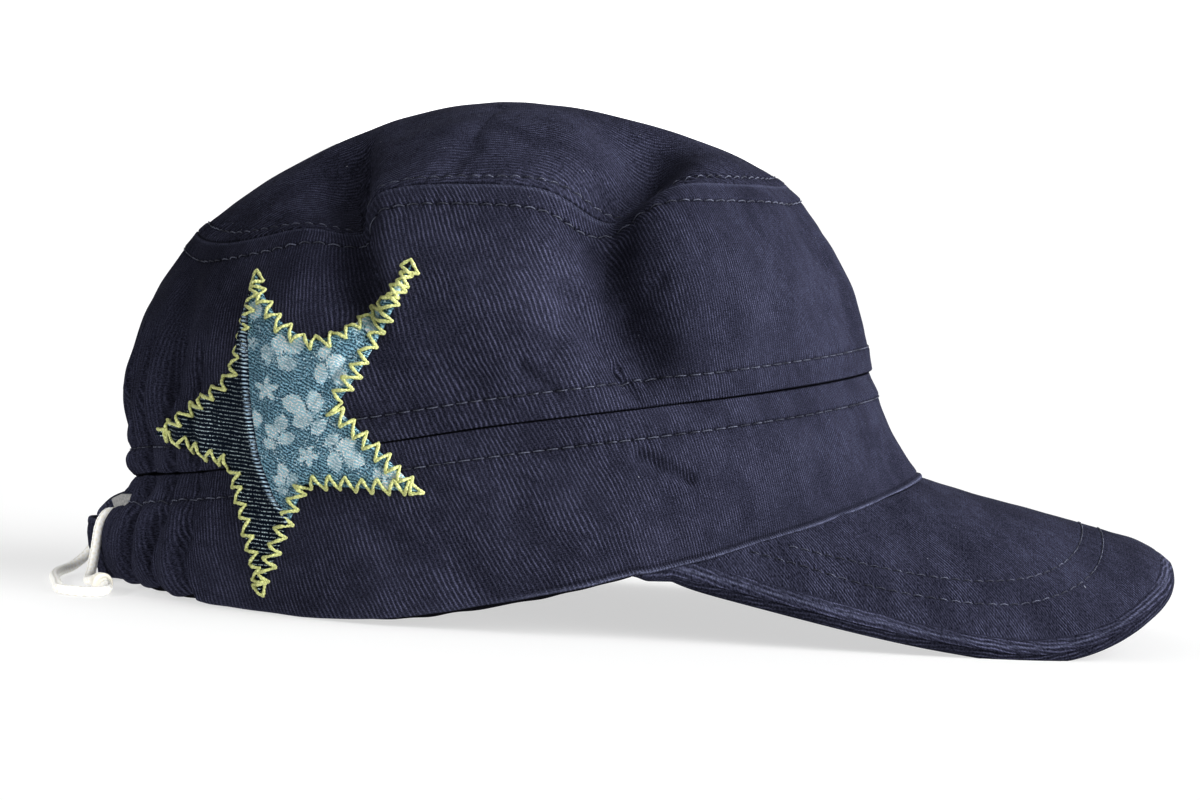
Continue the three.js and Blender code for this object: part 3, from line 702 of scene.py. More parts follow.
def hem_height(x, y, deg):
    off = np.abs(deg)
    free = read(HEIGHTS, "deg", "hem", off)
    share = smooth(TEMPLE["deg"], TEMPLE["deg"] + TEMPLE["eases"], off)
    return np.maximum((visor_top(x, y) + SEAM_GAP) * (1 - share) + free * share, 0)


def seam_point(deg, level):
    angle = np.radians(deg)
    back, front, half, egg = (RINGS[name][level] for name in ("back", "front", "half", "egg"))
    x = (back + front) / 2 + (front - back) / 2 * np.cos(angle)
    y = half * (1 - egg * np.cos(angle)) * np.sin(angle)
    if level == HEM:
        return np.stack([x, y, hem_height(x, y, deg)], -1)
    column = "seam" if level == BAND_SEAM else "top"
    return np.stack([x, y, read(HEIGHTS, "deg", column, np.abs(deg))], -1)


def outward(deg, v):
    """Level to the side at the band, upright at the apex."""
    angle = np.radians(deg)
    reach, half = (RINGS["front"][0] - RINGS["back"][0]) / 2, RINGS["half"][0]
    flat = unit(np.stack([half * np.cos(angle), reach * np.sin(angle)], -1))
    rise = smooth(1.2, 2.6, v) * math.pi / 2
    level = np.cos(rise)[..., None]
    return np.concatenate([flat * level, np.sin(rise)[..., None]], -1)


def creases(point, deg, v):
    """How far the folds and gathers draw the cloth in. v is a level: 0 at the hem, 3 at the apex."""
    x, y, z = point[..., 0], point[..., 1], point[..., 2]
    depth = np.zeros_like(x)
    for k in range(len(FOLDS["side"])):
        fold = {name: column[k] for name, column in FOLDS.items()}
        share = (z - fold["foot_z"]) / (fold["head_z"] - fold["foot_z"])
        turned = fold["turn"] * smooth(FOLD_FADE["turn_from"], FOLD_FADE["turn_to"], z)
        away = x - (fold["foot_x"] + (fold["head_x"] - fold["foot_x"]) * share + turned)
        spread = bell(away, np.where(away < 0, fold["behind"], fold["ahead"]))
        fade = smooth(0, FOLD_FADE["foot"], share)
        fade = fade * smooth(FOLD_FADE["inner"], FOLD_FADE["outer"], fold["side"] * y)
        depth += fold["depth"] * fade * spread
    gathered = smooth(GATHERS["start"], GATHERS["full"], np.abs(deg))
    ripple = 0.5 - 0.5 * np.cos(deg / GATHERS["period"] * 2 * math.pi)
    depth += GATHERS["drawn"] * gathered * smooth(0.55, 1, v) * (1 - smooth(1.15, 1.5, v))
    depth += GATHERS["waist"] * gathered * bell(v - 0.85, 0.1)
    return depth + GATHERS["depth"] * gathered * ripple * (1 - smooth(0.9, GATHERS["top"], v))


def plain_crown(deg, v, panel):
    """A point on the outside of the crown, before seams and wrinkles."""
    share = (v - panel)[..., None]
    out = outward(deg, v)
    low = seam_point(deg, panel)
    if panel == TOP:
        lift = 1 - (1 - share[..., 0]) ** 2
        point = low + (np.array(APEX) - low) * share
        point[..., 2] = low[..., 2] + (APEX[2] - low[..., 2]) * lift
    else:
        bulge = read(HEIGHTS, "deg", "band_bulge" if panel == BAND else "side_bulge", np.abs(deg))
        point = low + (seam_point(deg, panel + 1) - low) * share
        point = point + out * (bulge * np.sin(math.pi * share[..., 0]))[..., None]
    return point - out * creases(point, deg, v)[..., None]


# ---- Crown: seams, puckers and wrinkles ----

ROUND_TABLE = np.linspace(-180, 180, 1441)


def run_table(level):
    run = run_along(seam_point(ROUND_TABLE, level)[:, :2])
    return run - np.interp(-90, ROUND_TABLE, run)


RUNS = [run_table(level) for level in (HEM, BAND_SEAM, TOP_SEAM)]
FINER = {"full": 60, "none": 84, "by": 0.8}  # the ribs lie closer together over the brow, by degrees


def run_at(deg, level):
    """Distance along a seam from the wearer's right side, in mm."""
    return np.interp(deg, ROUND_TABLE, RUNS[level])


def cloth_run(deg, level):
    """Distance along a seam as the ribs of the cloth count it."""
    middle = np.abs(ROUND_TABLE[1:] + ROUND_TABLE[:-1]) / 2
    closer = 1 + FINER["by"] * (1 - smooth(FINER["full"], FINER["none"], middle))
    run = np.concatenate([[0], np.cumsum(np.diff(RUNS[level]) * closer)])
    return np.interp(deg, ROUND_TABLE, run - np.interp(-90, ROUND_TABLE, run))


def deg_at(run, level):
    return np.interp(run, RUNS[level], ROUND_TABLE)


def panel_height(deg, panel):
    """Length of a panel from its lower edge to its upper edge, in mm."""
    high = np.array(APEX) if panel == TOP else seam_point(deg, panel + 1)
    return np.linalg.norm(high - seam_point(deg, panel), axis=-1)


def from_edges(deg, v, panel):
    """Distances from a panel's lower and upper edges, in mm."""
    height = panel_height(deg, panel)
    return (v - panel) * height, (panel + 1 - v) * height


def over_visor(deg):
    """1 where the hem lies on the visor, 0 where it is free."""
    return 1 - smooth(78, 96, np.abs(deg))


STITCH = {"pitch": 3.5, "long": 2.8, "radius": 0.17}
# Rows of top-stitching: panel, distance from its lower edge or, when negative, from its upper edge.
CROWN_ROWS = [(BAND, -7.2), (SIDE, 7.0), (SIDE, -6.4), (TOP, 3.0)]
# A seam: its groove, the slit in it, how soft most edges are, how far the cloth sinks in at the front
# and how far from it the cloth is calm.
SEAM = {"groove": 0.6, "slit": 0.5, "slit_half": 0.22, "soft": 0.5, "sunk": 5.0, "calm": 12}
# A stitched row: the welt beside it, its dimples and the puckers on each side.
WELT = {"high": 0.4, "dimple": 0.38, "width": 0.42, "pucker": 0.26, "spread": 2.6}
# The hem's roll over the visor and the groove above it, each with its place and half its width.
ROLL = {"high": 0.5, "at": 0.6, "half": 0.7, "groove": 0.35, "groove_at": 1.6, "groove_half": 0.45}
# Wrinkles in the cloth, each from one place to another: how wide it is behind and ahead of its
# line, and its depth or, negative, its height.
WRINKLES = [
    # The crisp edge of the rear fold, where the middle of the crown overhangs it.
    ((-71.6, -13.3, 112.6), (-72.6, -33.6, 104.3), 3.0, 1.2, 1.8),
    ((-72.6, -33.6, 104.3), (-70.2, -51.9, 95.4), 3.0, 1.0, 2.6),
    ((-70.2, -51.9, 95.4), (-67.2, -59.2, 84.6), 3.0, 1.0, 2.8),
    ((-67.2, -59.2, 84.6), (-65.0, -64.5, 77.0), 3.4, 1.3, 2.2),
    ((-68.6, -33.6, 104.3), (-66.0, -51.9, 95.4), 1.4, 3.2, -0.8),
    ((-66.0, -51.9, 95.4), (-63.0, -59.2, 84.6), 1.4, 3.2, -0.8),
    # The front fold, whose far bank turns away from the light.
    ((-7.5, -41.0, 111.0), (-10.2, -51.5, 95.8), 3.0, 5.0, 2.2),
    ((-10.2, -51.5, 95.8), (-9.8, -55.6, 88.0), 2.2, 6.0, 3.4),
    ((-9.8, -55.6, 88.0), (-5.1, -56.7, 80.4), 2.2, 6.0, 3.0),
    ((-5.1, -56.7, 80.4), (0.6, -61.8, 66.0), 1.8, 4.5, 1.8),
    ((3.9, -58.0, 87.5), (-3.7, -56.9, 81.0), 1.6, 1.8, 1.3),
    # Short creases above and below the band's seam.
    ((-9.7, -62.3, 72.6), (-4.8, -62.8, 66.0), 1.6, 1.0, 0.9),
    ((-4.8, -62.8, 66.0), (0.6, -65.5, 58.1), 2.0, 0.8, 2.4),
    ((1.4, -69.4, 45.4), (6.4, -68.2, 42.9), 1.5, 1.5, 2.3),
    ((6.4, -68.2, 42.9), (14.0, -66.0, 39.7), 1.5, 1.5, 1.9),
    ((-28.8, -73.7, 65.4), (-19.2, -71.9, 59.0), 2.0, 1.4, 1.1),
    ((-17.5, -66.4, 80.7), (-21.5, -71.5, 69.5), 5.0, 3.0, 1.3),
    ((-6.0, -71.0, 44.0), (-16.0, -73.0, 30.0), 3.0, 3.0, 0.6),
    # Ridges over the top and the brow.
    ((45, -11.6, 96.3), (48.6, -27.8, 73.9), 3.0, 3.0, -0.6),
    ((-4.0, -10.0, 122.6), (13.2, -31.0, 116.6), 1.3, 1.3, -0.5),
    ((17.3, -18.0, 117.0), (41.7, -31.0, 103.0), 1.1, 1.1, -0.5),
    ((-80.0, -4.0, 111.0), (-93.2, -22.0, 96.8), 1.6, 1.6, -0.7),
    ((-39.6, -14.8, 126.5), (-45.5, -44.3, 116.7), 4.0, 2.5, 0.9),
    ((-45.5, -44.3, 116.7), (-52.0, -56.0, 109.2), 4.0, 2.5, 1.1),
    # The far side.
    ((-20, 66, 84), (-12, 70, 62), 2.5, 1.6, 1.2),
    ((30, 52, 92), (22, 60, 66), 4.0, 2.0, 0.9),
    ((-68, 56, 96), (-63, 66, 76), 4.0, 1.4, 2.2),
    ((-90, 60, 84), (-98, 62, 60), 3.0, 2.0, 1.0),
]
# Unevenness of the crown and of the visor: wavelength, height and seed.
UNEVEN = [(46, 0.8, 11), (19, 0.32, 12), (8.5, 0.12, 13)]
VISOR_UNEVEN = [(34, 0.28, 61), (9, 0.1, 62)]


def wrinkles(point):
    depth = np.zeros(point.shape[:-1])
    bend = 1 + 0.3 * waves(point, 14, 21)
    for start, end, behind, ahead, deep in WRINKLES:
        start, end = np.array(start, float), np.array(end, float)
        line = end - start
        share = np.clip(((point - start) @ line) / (line @ line), 0, 1)
        away = point - (start + share[..., None] * line)
        width = np.where(away[..., 0] < 0, behind, ahead) * bend
        spread = bell(np.linalg.norm(away, axis=-1), width)
        depth = np.where(np.abs(deep * spread) > np.abs(depth), deep * spread, depth)
    return depth


def rounded(distance, radius):
    """How far a rounded edge has fallen away, at a distance from it."""
    left = np.clip(1 - distance / radius, 0, 1)
    return radius * (1 - np.sqrt(np.maximum(1 - left**2, 0)))


# The gathers' puffs, their ruffles, and the folds between them, which are narrow at a high power.
PUFFS = {"high": 0.9, "ruffle": 1.2, "fold": 4.4, "power": 5}


def puffs(point, deg, edge, more):
    """The gathers at the back, at a distance from the band's seam: puffs, and narrow folds between."""
    gathered = smooth(GATHERS["start"] + 4, GATHERS["full"], np.abs(deg))
    uneven = deg + 1.6 * waves(point, 21, 43) + 0.8 * waves(point, 8, 44)
    fold = (0.5 - 0.5 * np.cos(uneven / GATHERS["period"] * 2 * math.pi)) ** PUFFS["power"]
    puff = PUFFS["high"] + PUFFS["ruffle"] * waves(point * (1, 1, 0.22), 7.5, 41) - PUFFS["fold"] * fold
    sewn_down = 1 - 0.7 * bell(edge - 7.2, 1.6) - 0.6 * bell(edge, 1.6)
    return gathered * (puff * sewn_down + more)


def relief(point, deg, v, panel):
    """How far the finished cloth stands off the plain shape."""
    low, high = from_edges(deg, v, panel)
    seams = [edge for edge, there in ((low, panel != BAND), (high, panel != TOP)) if there]
    rise = np.zeros_like(v)
    flatter = 0.45 if panel == TOP else 1.0
    for length, tall, seed in UNEVEN:
        rise += flatter * tall * waves(point, length, seed)
    rise -= wrinkles(point)
    for edge in seams:
        rise *= 0.25 + 0.75 * smooth(0, SEAM["calm"], edge)
    for edge in seams:
        sharp = panel == SIDE and edge is low
        groove = rounded(edge, SEAM["groove"]) + SEAM["slit"] * bell(edge, SEAM["slit_half"])
        rise -= groove if sharp else SEAM["soft"] * groove
        if not sharp:
            rise -= bell(edge, SEAM["sunk"]) * (1 - smooth(30, 60, np.abs(deg)))
    for row_panel, at in CROWN_ROWS:
        if row_panel == panel:
            rise += stitched_row(point, deg, low if at > 0 else high, panel + (at < 0), abs(at))
    if panel == BAND:
        more = 1.9 * bell(low - 10, 8) - 0.6 * rounded(low, 6.0) - 0.9 * bell(high, 4)
        rise += puffs(point, deg, high, more) - rounded(low, 1.0)
        round_roll = 1 - ((low - ROLL["at"]) / ROLL["half"]) ** 2
        rolled = ROLL["high"] * np.sqrt(np.clip(round_roll, 0, 1))
        rolled -= ROLL["groove"] * bell(low - ROLL["groove_at"], ROLL["groove_half"])
        rise += over_visor(deg) * rolled
    if panel == SIDE:
        rise += puffs(point, deg, low, -0.5 * bell(low, 3)) * (1 - smooth(18, 44, low))
    return rise


def stitched_row(point, deg, edge, level, row):
    """What a row of stitches does: a welt up to the row, dimples along it and puckers on each side."""
    stitch = np.cos(run_at(deg, level) * 2 * math.pi / STITCH["pitch"])
    uneven = 0.65 + 0.35 * waves(point, 23, 31)
    welt = WELT["high"] * (1 - smooth(row - 0.9, row + 0.7, edge))
    dimple = WELT["dimple"] * bell(edge - row, WELT["width"]) * (0.75 - 0.25 * stitch)
    return welt - dimple + WELT["pucker"] * stitch * bell(edge - row, WELT["spread"]) * uneven


def crown(deg, v, panel, depth):
    """A point of the finished crown, at a depth inside the outside of its cloth."""
    deg, v = np.broadcast_arrays(np.asarray(deg, float), np.asarray(v, float))
    point = plain_crown(deg, v, panel)
    turn, climb = 0.2, 0.004
    ahead, behind = plain_crown(deg + turn, v, panel), plain_crown(deg - turn, v, panel)
    above = plain_crown(deg, np.clip(v + climb, panel, panel + 1), panel)
    below = plain_crown(deg, np.clip(v - climb, panel, panel + 1), panel)
    normal = np.cross(ahead - behind, above - below)
    size = np.linalg.norm(normal, axis=-1, keepdims=True)
    normal = np.where(size > 1e-5, normal / np.maximum(size, 1e-9), np.array([0.0, 0.0, 1.0]))
    point = point + normal * (relief(point, deg, v, panel) - depth)[..., None]
    if panel == BAND:
        lowest = hem_height(point[..., 0], point[..., 1], deg)
        pull = 1 - smooth(0.0, 0.06, v)
        lowest = lowest * pull + point[..., 2] * (1 - pull)
        point[..., 2] = np.maximum(np.maximum(point[..., 2], lowest), ABOVE_FLOOR)
    return point


LEAN = {"side": 0.38, "less_behind": 0.26}


def lean(deg):
    """How much the ribs of the cloth lean, as a slope."""
    side, behind = smooth(45, 82, np.abs(deg)), smooth(112, 150, np.abs(deg))
    return -np.sign(deg) * (LEAN["side"] * side - LEAN["less_behind"] * behind)


def crown_cloth(deg, v, panel):
    """The place along and up the cloth, in mm."""
    point = plain_crown(deg, v, panel)
    if panel == TOP:
        return np.stack([point[..., 1], point[..., 0], point[..., 2] * 0.3], -1)
    height = (v - panel) * panel_height(deg, panel)
    along = (cloth_run(deg, panel) + cloth_run(deg, panel + 1)) / 2
    return np.stack([along + lean(deg) * height, height, np.full_like(height, 40.0 * panel)], -1)


def crown_ribs(deg, v, panel):
    """How strongly the ribs show: less at the front, where the cloth is stretched."""
    x = plain_crown(deg, v, panel)[..., 0]
    if panel == TOP:
        return 0.75 - 0.2 * smooth(-40, 20, x)
    ribs = (1 - 0.15 * smooth(0, 30, x)) * (1 - 0.55 * smooth(134, 152, np.abs(deg)))
    if panel == BAND:
        low = (v - panel) * panel_height(deg, panel)
        ribs = ribs * (1 - 0.45 * smooth(15, 40, x) * (1 - smooth(3, 11, low)))
        # Strong ribs on the hem's roll over the visor, whose pale crests add to its painted highlight.
        ribs += 0.9 * bell(low - 0.9, 0.7) * smooth(-20, 10, x)
    return ribs


def crown_painted_shade(deg, v, panel):
    """Painted shade: where the colour is darkened, in the slits of the seams,
    along the rows of stitches and in the groove above the hem's roll over the visor.
    """
    low, high = from_edges(deg, v, panel)
    dye = (0.9 if panel == SIDE else 0.3) * bell(low, 0.24) * (panel != BAND)
    dye = dye + (0.9 if panel == BAND else 0.3) * bell(high, 0.24) * (panel != TOP)
    for row_panel, at in CROWN_ROWS:
        if row_panel == panel:
            dye = dye + 0.55 * bell((low if at > 0 else high) - abs(at), 0.34)
    if panel == BAND:
        dye = dye + 0.5 * bell(low - 1.7, 0.4) * over_visor(deg)
    return np.clip(dye, 0, 1)


def crown_wear_and_highlight(deg, v, panel):
    # Paler colour: real wear at the hem's lower edge, and a painted highlight on the hem's roll over the
    # visor and just under the top seam.
    low, high = from_edges(deg, v, panel)
    wear = np.zeros_like(v)
    if panel == BAND:
        wear += 0.75 * bell(low - ROLL["at"], 0.45) * over_visor(deg) + 0.15 * bell(low, 1.4)
    if panel == SIDE:
        wear += 0.35 * bell(high - 0.9, 0.5)
    return np.clip(wear, 0, 1)


# Distances from an edge where the first levels of a panel are, in mm, and how far fine levels go on
# from the lower and the upper edge of each panel.
NEAR = [0, 0.1, 0.22, 0.36, 0.52, 0.7, 0.9, 1.15, 1.45, 1.8, 2.2, 2.6, 3.0]
EDGE_ZONE = {"gap": 0.35 if FINE else 0.7, "low": (4.2, 8.4, 4.4), "high": (8.6, 7.8, 0.0)}


def levels(panel, rows, degrees):
    """Levels of a panel, column by column: finely spaced along its edges and its rows of stitches."""

    def edge(zone):
        fine = [at for at in NEAR if at <= zone]
        more = np.arange(fine[-1] + EDGE_ZONE["gap"], zone, EDGE_ZONE["gap"]) if zone > 3 else []
        return np.concatenate([fine, more])

    height = panel_height(degrees, panel)
    low = edge(EDGE_ZONE["low"][panel])[:, None] / height
    inner = np.linspace(0, 1, rows + 1)[1:, None]
    if panel == TOP:
        middle = low[-1] + (1 - low[-1]) * inner[:-1]
        return panel + np.concatenate([low, middle])
    high = 1 - edge(EDGE_ZONE["high"][panel])[::-1, None] / height
    middle = low[-1] + (high[0] - low[-1]) * inner[:-1]
    return panel + np.concatenate([low, middle, high])


def crown_panel(name, panel, rows, inner_rows, thickness):
    """Makes a panel of the crown and returns the grid of its outside."""
    if panel == BAND:
        degrees = np.linspace(-BAND_END, BAND_END, COLUMNS)
    else:
        degrees = np.arange(COLUMNS) / COLUMNS * 360 - 180
    outer_levels = levels(panel, rows, degrees)
    share = np.linspace(0, 1, inner_rows)[:, None]
    inner_levels = panel + (outer_levels[-1] - panel) * share
    walls, values = [], {"cloth": [], "wear": [], "ribs": [], "dye": []}
    for v, depth in ((outer_levels, 0.0), (inner_levels, thickness)):
        deg = np.broadcast_to(degrees, v.shape)
        wall = np.full_like(v, depth)
        if panel == BAND:
            # Its ends are rounded inside and out, and its hem inside.
            from_end = (BAND_END - np.abs(deg)) * PER_DEGREE
            wall = wall + (-1 if depth else 1) * rounded(from_end, 1.0)
            if depth:
                wall = wall - 0.8 * rounded((v - panel) * BAND_TALL, 1.0)
        walls.append(crown(deg, v, panel, wall))
        values["cloth"].append(crown_cloth(deg, v, panel).reshape(-1, 3))
        values["wear"].append(crown_wear_and_highlight(deg, v, panel).ravel())
        values["ribs"].append(crown_ribs(deg, v, panel).ravel())
        values["dye"].append(crown_painted_shade(deg, v, panel).ravel() * (depth == 0))
    outer, inner = walls
    build = Build()
    values = {key: np.concatenate(parts) for key, parts in values.items()}
    add_shell(build, outer, inner, panel != BAND, **values)
    if panel == TOP:
        # The top closes in a fan at the apex, inside and out, in place of the wall's upper rim.
        rim, first = build.faces.pop(), build.count
        tips = np.array([outer[-1].mean(0), inner[-1].mean(0)])
        build.add(tips, [], cloth=np.array([[0, APEX[0], 0]] * 2), **all_over(2))
        build.faces += [fan(rim[:, 0], first), fan(rim[:, 3], first + 1)[:, ::-1]]
    build.piece(name + "_cloth", NAVY, "navy_twill", [name])
    return outer


band_outer = crown_panel("crown_band", BAND, 34 if FINE else 16, 12, CASING)
side_outer = crown_panel("crown_side", SIDE, 58 if FINE else 30, 16, CLOTH)
crown_panel("crown_top", TOP, 76 if FINE else 38, 16, CLOTH)

# ---- Sweatband ----

# How far round and up it goes, how far it shows under the hem, and how much more at the front.
SWEATBAND = {"end": 162, "top": 0.6, "rows": 12, "shows": 0.7, "front": 0.9, "wall": 1.0}


def sweatband():
    """A dark lining that shows as a thin line under the hem."""
    degrees = np.linspace(-SWEATBAND["end"], SWEATBAND["end"], COLUMNS)
    some = np.linspace(0, SWEATBAND["top"], SWEATBAND["rows"])
    v, deg = np.meshgrid(some, degrees, indexing="ij")
    walls = []
    for depth in (CASING + SEAM_GAP, CASING + SEAM_GAP + SWEATBAND["wall"]):
        point = plain_crown(deg, v, BAND) - outward(deg, v) * depth
        point[0, :, 2] = hem_height(point[0, :, 0], point[0, :, 1], degrees)
        point[0, :, 2] -= SWEATBAND["shows"] * (1 - 2 * smooth(100, 125, np.abs(degrees)))
        point[0, :, 2] -= SWEATBAND["front"] * smooth(64, 50, np.abs(degrees))
        point[0, :, 2] += 0.25 * waves(point[0], 9, 51)
        point[..., 2] = np.maximum(point[..., 2], ABOVE_FLOOR)
        walls.append(point)
    cloth = np.concatenate([crown_cloth(deg, v, BAND).reshape(-1, 3)] * 2)
    build = Build()
    add_shell(build, *walls, cloth=cloth, **all_over(len(cloth), ribs=0.5))
    build.piece("sweatband_cloth", LINING, "sweatband_cotton", ["sweatband"])


sweatband()

# ---- Seam tape ----

# A tape inside the seam of band and side. It reaches down behind the closure, between the band's ends.
SEAM_TAPE = {"below": 0.1, "above": 0.05, "facing": 0.36, "from": 166, "full": 171, "thick": 0.4}


def seam_tape():
    degrees = np.linspace(-180, 180, COLUMNS)
    facing = smooth(SEAM_TAPE["from"], SEAM_TAPE["full"], np.abs(degrees))
    reach = SEAM_TAPE["below"] + SEAM_TAPE["facing"] * facing
    walls = []
    for extra in (0.0, SEAM_TAPE["thick"]):
        depths = CASING + 0.15 + extra, CLOTH + 0.2 + extra
        below = [BAND_SEAM - reach * share for share in (1.0, 0.7, 0.4, 0.1)]
        above = [BAND_SEAM + SEAM_TAPE["above"] * share for share in (0.3, 1.0)]
        rows = [crown(degrees, v, BAND, depths[0]) for v in below]
        rows += [crown(degrees, v, SIDE, depths[1]) for v in above]
        walls.append(np.stack(rows))
    cloth = np.concatenate([wall.reshape(-1, 3) for wall in walls])
    build = Build()
    add_shell(build, *walls, cloth=cloth, **all_over(len(cloth), ribs=0.6))
    build.piece("seam_tape", LINING, "navy_twill")


seam_tape()

# ---- Visor ----

EDGE = {"strip": 3.4, "crease": 0.1, "slant": 0.05}  # the rolled edge strip round the visor
# Rows of top-stitching on the visor, by their distance from its edge at angles from the front.
VISOR_ROWS = table(
    "angle inner outer",
    [(0, 23.5, 18.6), (10, 23.8, 18.1), (17, 23.2, 16.4), (23, 21.8, 14.7), (30, 19.9, 12.6),
     (38, 18.0, 11.2), (46, 16.2, 10.1), (56, 14.4, 9.9), (67, 12.8, 9.1), (80, 12.0, 8.6)],
)
# Its ends stand out a little from the hem, then taper away under the crown.
VISOR_END = {"deg": 73.2, "from": 70.2, "ledge": 1.3, "wide": 0.9}
# Its thickness, which hangs lower by the temples and ends thin.
VISOR_THICKNESS = table(
    "deg thick",
    [(0, 3.2), (36, 3.2), (50, 3.6), (57, 3.6), (62, 3.4), (65, 2.9), (68, 1.7), (71, 0.6), (75, 0.4)],
)
VISOR_FAR = 64.0  # how far in from its edge its cloth starts


def visor_reach(angle):
    across = np.abs(np.sin(angle)) / VISOR["half"]
    along = np.abs(np.cos(angle)) / VISOR["reach"]
    return (across ** VISOR["power"] + along ** VISOR["power"]) ** (-1 / VISOR["power"])


def visor_plan(deg, share):
    """Plan place on the visor, from its root at share 0 to its edge at share 1."""
    root = plain_crown(deg, np.zeros_like(deg), BAND) - outward(deg, np.zeros_like(deg)) * VISOR["tuck"]
    angle = np.arctan2(root[..., 1], root[..., 0])
    start = np.hypot(root[..., 0], root[..., 1])
    ledge = VISOR_END["ledge"] + VISOR_END["wide"] * smooth(76, 60, np.abs(deg))
    end = np.maximum(visor_reach(angle), start + ledge)
    tapered = smooth(VISOR_END["from"], VISOR_END["deg"], np.abs(deg))
    end = end + (start + 0.4 - end) * tapered
    radius = start + (end - start) * share
    return radius * np.cos(angle), radius * np.sin(angle)


VISOR_TABLE = np.linspace(-VISOR_END["deg"], VISOR_END["deg"], 721)
VISOR_RIM = np.stack(visor_plan(VISOR_TABLE, np.ones_like(VISOR_TABLE)), -1)
VISOR_RUN = run_along(VISOR_RIM)


def visor_depth(deg):
    """Distance in plan from the visor's root to its edge."""
    start, end = (np.array(visor_plan(deg, np.full_like(deg, share))) for share in (0.0, 1.0))
    return np.hypot(*(end - start))


def row_inset(deg, row):
    """Distance of a stitch row from the visor's edge, at an angle round the crown."""
    x, y = visor_plan(deg, np.ones_like(deg))
    return read(VISOR_ROWS, "angle", row, np.degrees(np.arctan2(np.abs(y), x)))


def visor_thickness(deg):
    return read(VISOR_THICKNESS, "deg", "thick", np.abs(deg))


def visor_point(deg, share, below=0.0):
    """A point of the finished visor's upper side, or a depth below it."""
    x, y = visor_plan(deg, share)
    z = visor_top(x, y)
    step = 0.5
    slope_x = (visor_top(x + step, y) - visor_top(x - step, y)) / (2 * step)
    slope_y = (visor_top(x, y + step) - visor_top(x, y - step)) / (2 * step)
    normal = unit(np.stack([-slope_x, -slope_y, np.ones_like(x)], -1))
    inset = (1 - share) * visor_depth(deg)
    place = np.stack([x, y, z], -1)
    rise = sum(tall * waves(place, length, seed) for length, tall, seed in VISOR_UNEVEN)
    rise = rise * smooth(0, 10, inset)
    for row in ("inner", "outer"):
        away = inset - row_inset(deg, row)
        along = np.interp(deg, VISOR_TABLE, VISOR_RUN)
        stitch = np.cos(along * 2 * math.pi / STITCH["pitch"])
        rise -= bell(away, 0.5) * (0.2 - 0.06 * stitch) - 0.1 * bell(away, 2.2) * stitch
    rise -= EDGE["crease"] * bell(inset - EDGE["strip"], 0.45)
    place = place + normal * (rise - below)[..., None]
    return place, inset


def visor():
    """The visor's cloth over its board, with a rounded rolled edge."""
    degrees = np.linspace(-VISOR_END["deg"], VISOR_END["deg"], 420 if FINE else 220)
    insets = [np.linspace(VISOR_FAR, 4, 126 if FINE else 50)[:-1], np.linspace(4, 0, 25)]
    share, deg = np.meshgrid(1 - np.concatenate(insets) / VISOR_FAR, degrees, indexing="ij")
    upper, inset = visor_point(deg, share)
    lower, _ = visor_point(deg[::6], share[::6], visor_thickness(deg)[::6])
    turns = np.linspace(0, math.pi, 9)[1:-1, None]
    edge_deg = deg[-1][None].repeat(len(turns), 0)
    half = visor_thickness(edge_deg) / 2
    bead, _ = visor_point(edge_deg, np.ones_like(edge_deg), half)
    out = unit(bead * (1, 1, 0))
    bead = bead + out * (np.sin(turns) * half * 0.85)[..., None]
    bead[..., 2] += np.cos(turns) * half
    for grid in (upper, bead, lower):
        grid[..., 2] = np.maximum(grid[..., 2], ABOVE_FLOOR)
    along = np.interp(deg, VISOR_TABLE, VISOR_RUN)
    run = along[:1].repeat(len(turns), 0)
    across = np.stack([upper[..., 1] * 0.8 + upper[..., 0] * 0.6, upper[..., 0] * 0.8, 0 * along], -1)
    on_strip = inset < EDGE["strip"]
    strip = strip_cloth(inset - EDGE["strip"], along)
    bead_cloth = strip_cloth(turns * 1.6 - EDGE["strip"], run)
    under = np.stack([lower[..., 1], lower[..., 0], 0 * lower[..., 0]], -1)
    # The two paler lines on the rolled edge strip are partly wear and partly a painted highlight.
    edge_wear_and_highlight = 0.7 * bell(inset - 1.5, 0.24) + 0.25 * bell(inset - 2.5, 0.2)
    none, none_below = 0 * run, 0 * lower[..., 0]
    values = {
        "cloth": (np.where(on_strip[..., None], strip, across), bead_cloth, under),
        "wear": (edge_wear_and_highlight, none, none_below),
        "ribs": (0.8 + 0.15 * on_strip, none + 1, none_below + 1),
        # The visor's edge bead is darkened with painted shade.
        "dye": (0 * inset, none + 0.35, none_below),
    }
    values = {name: from_visor_edge(*parts) for name, parts in values.items()}
    build = Build()
    add_shell(build, np.concatenate([upper, bead])[::-1], lower[::-1], **values)
    build.piece("visor_cloth", VISOR_TWILL, "navy_twill", ["visor"])


def strip_cloth(up, along):
    """The place on the cloth of the edge strip, whose ribs run along it."""
    return np.stack([up * 0.62 + along * EDGE["slant"], along * 0.7 + 0 * up, 0 * along + 90], -1)


def from_visor_edge(upper, bead, lower):
    """A value per vertex, in the order of a wall whose rows start at the visor's edge."""
    grids = np.concatenate([upper, bead])[::-1], lower[::-1]
    return np.concatenate([grid.reshape(-1, *grid.shape[2:]) for grid in grids])


visor()

# ---- Top-stitching ----


def stitch_paths(length):
    """Starts and ends of the stitches along a row."""
    count = int(length / STITCH["pitch"])
    rng = np.random.default_rng(71)
    starts = np.arange(count) * STITCH["pitch"] + rng.uniform(-0.2, 0.2, count)
    return starts - STITCH["long"] / 2, starts + STITCH["long"] / 2


ROW_END = 7  # the visor's rows stop this far from its ends, in mm
# A stitch's height over the cloth, from end to end, and the places along it.
STITCH_SHAPE = np.array([-0.3, 0.05, 0.16, 0.21, 0.23, 0.21, 0.16, 0.05, -0.3])
STITCH_PLACE = np.array([0.0, 0.06, 0.16, 0.32, 0.5, 0.68, 0.84, 0.94, 1.0])


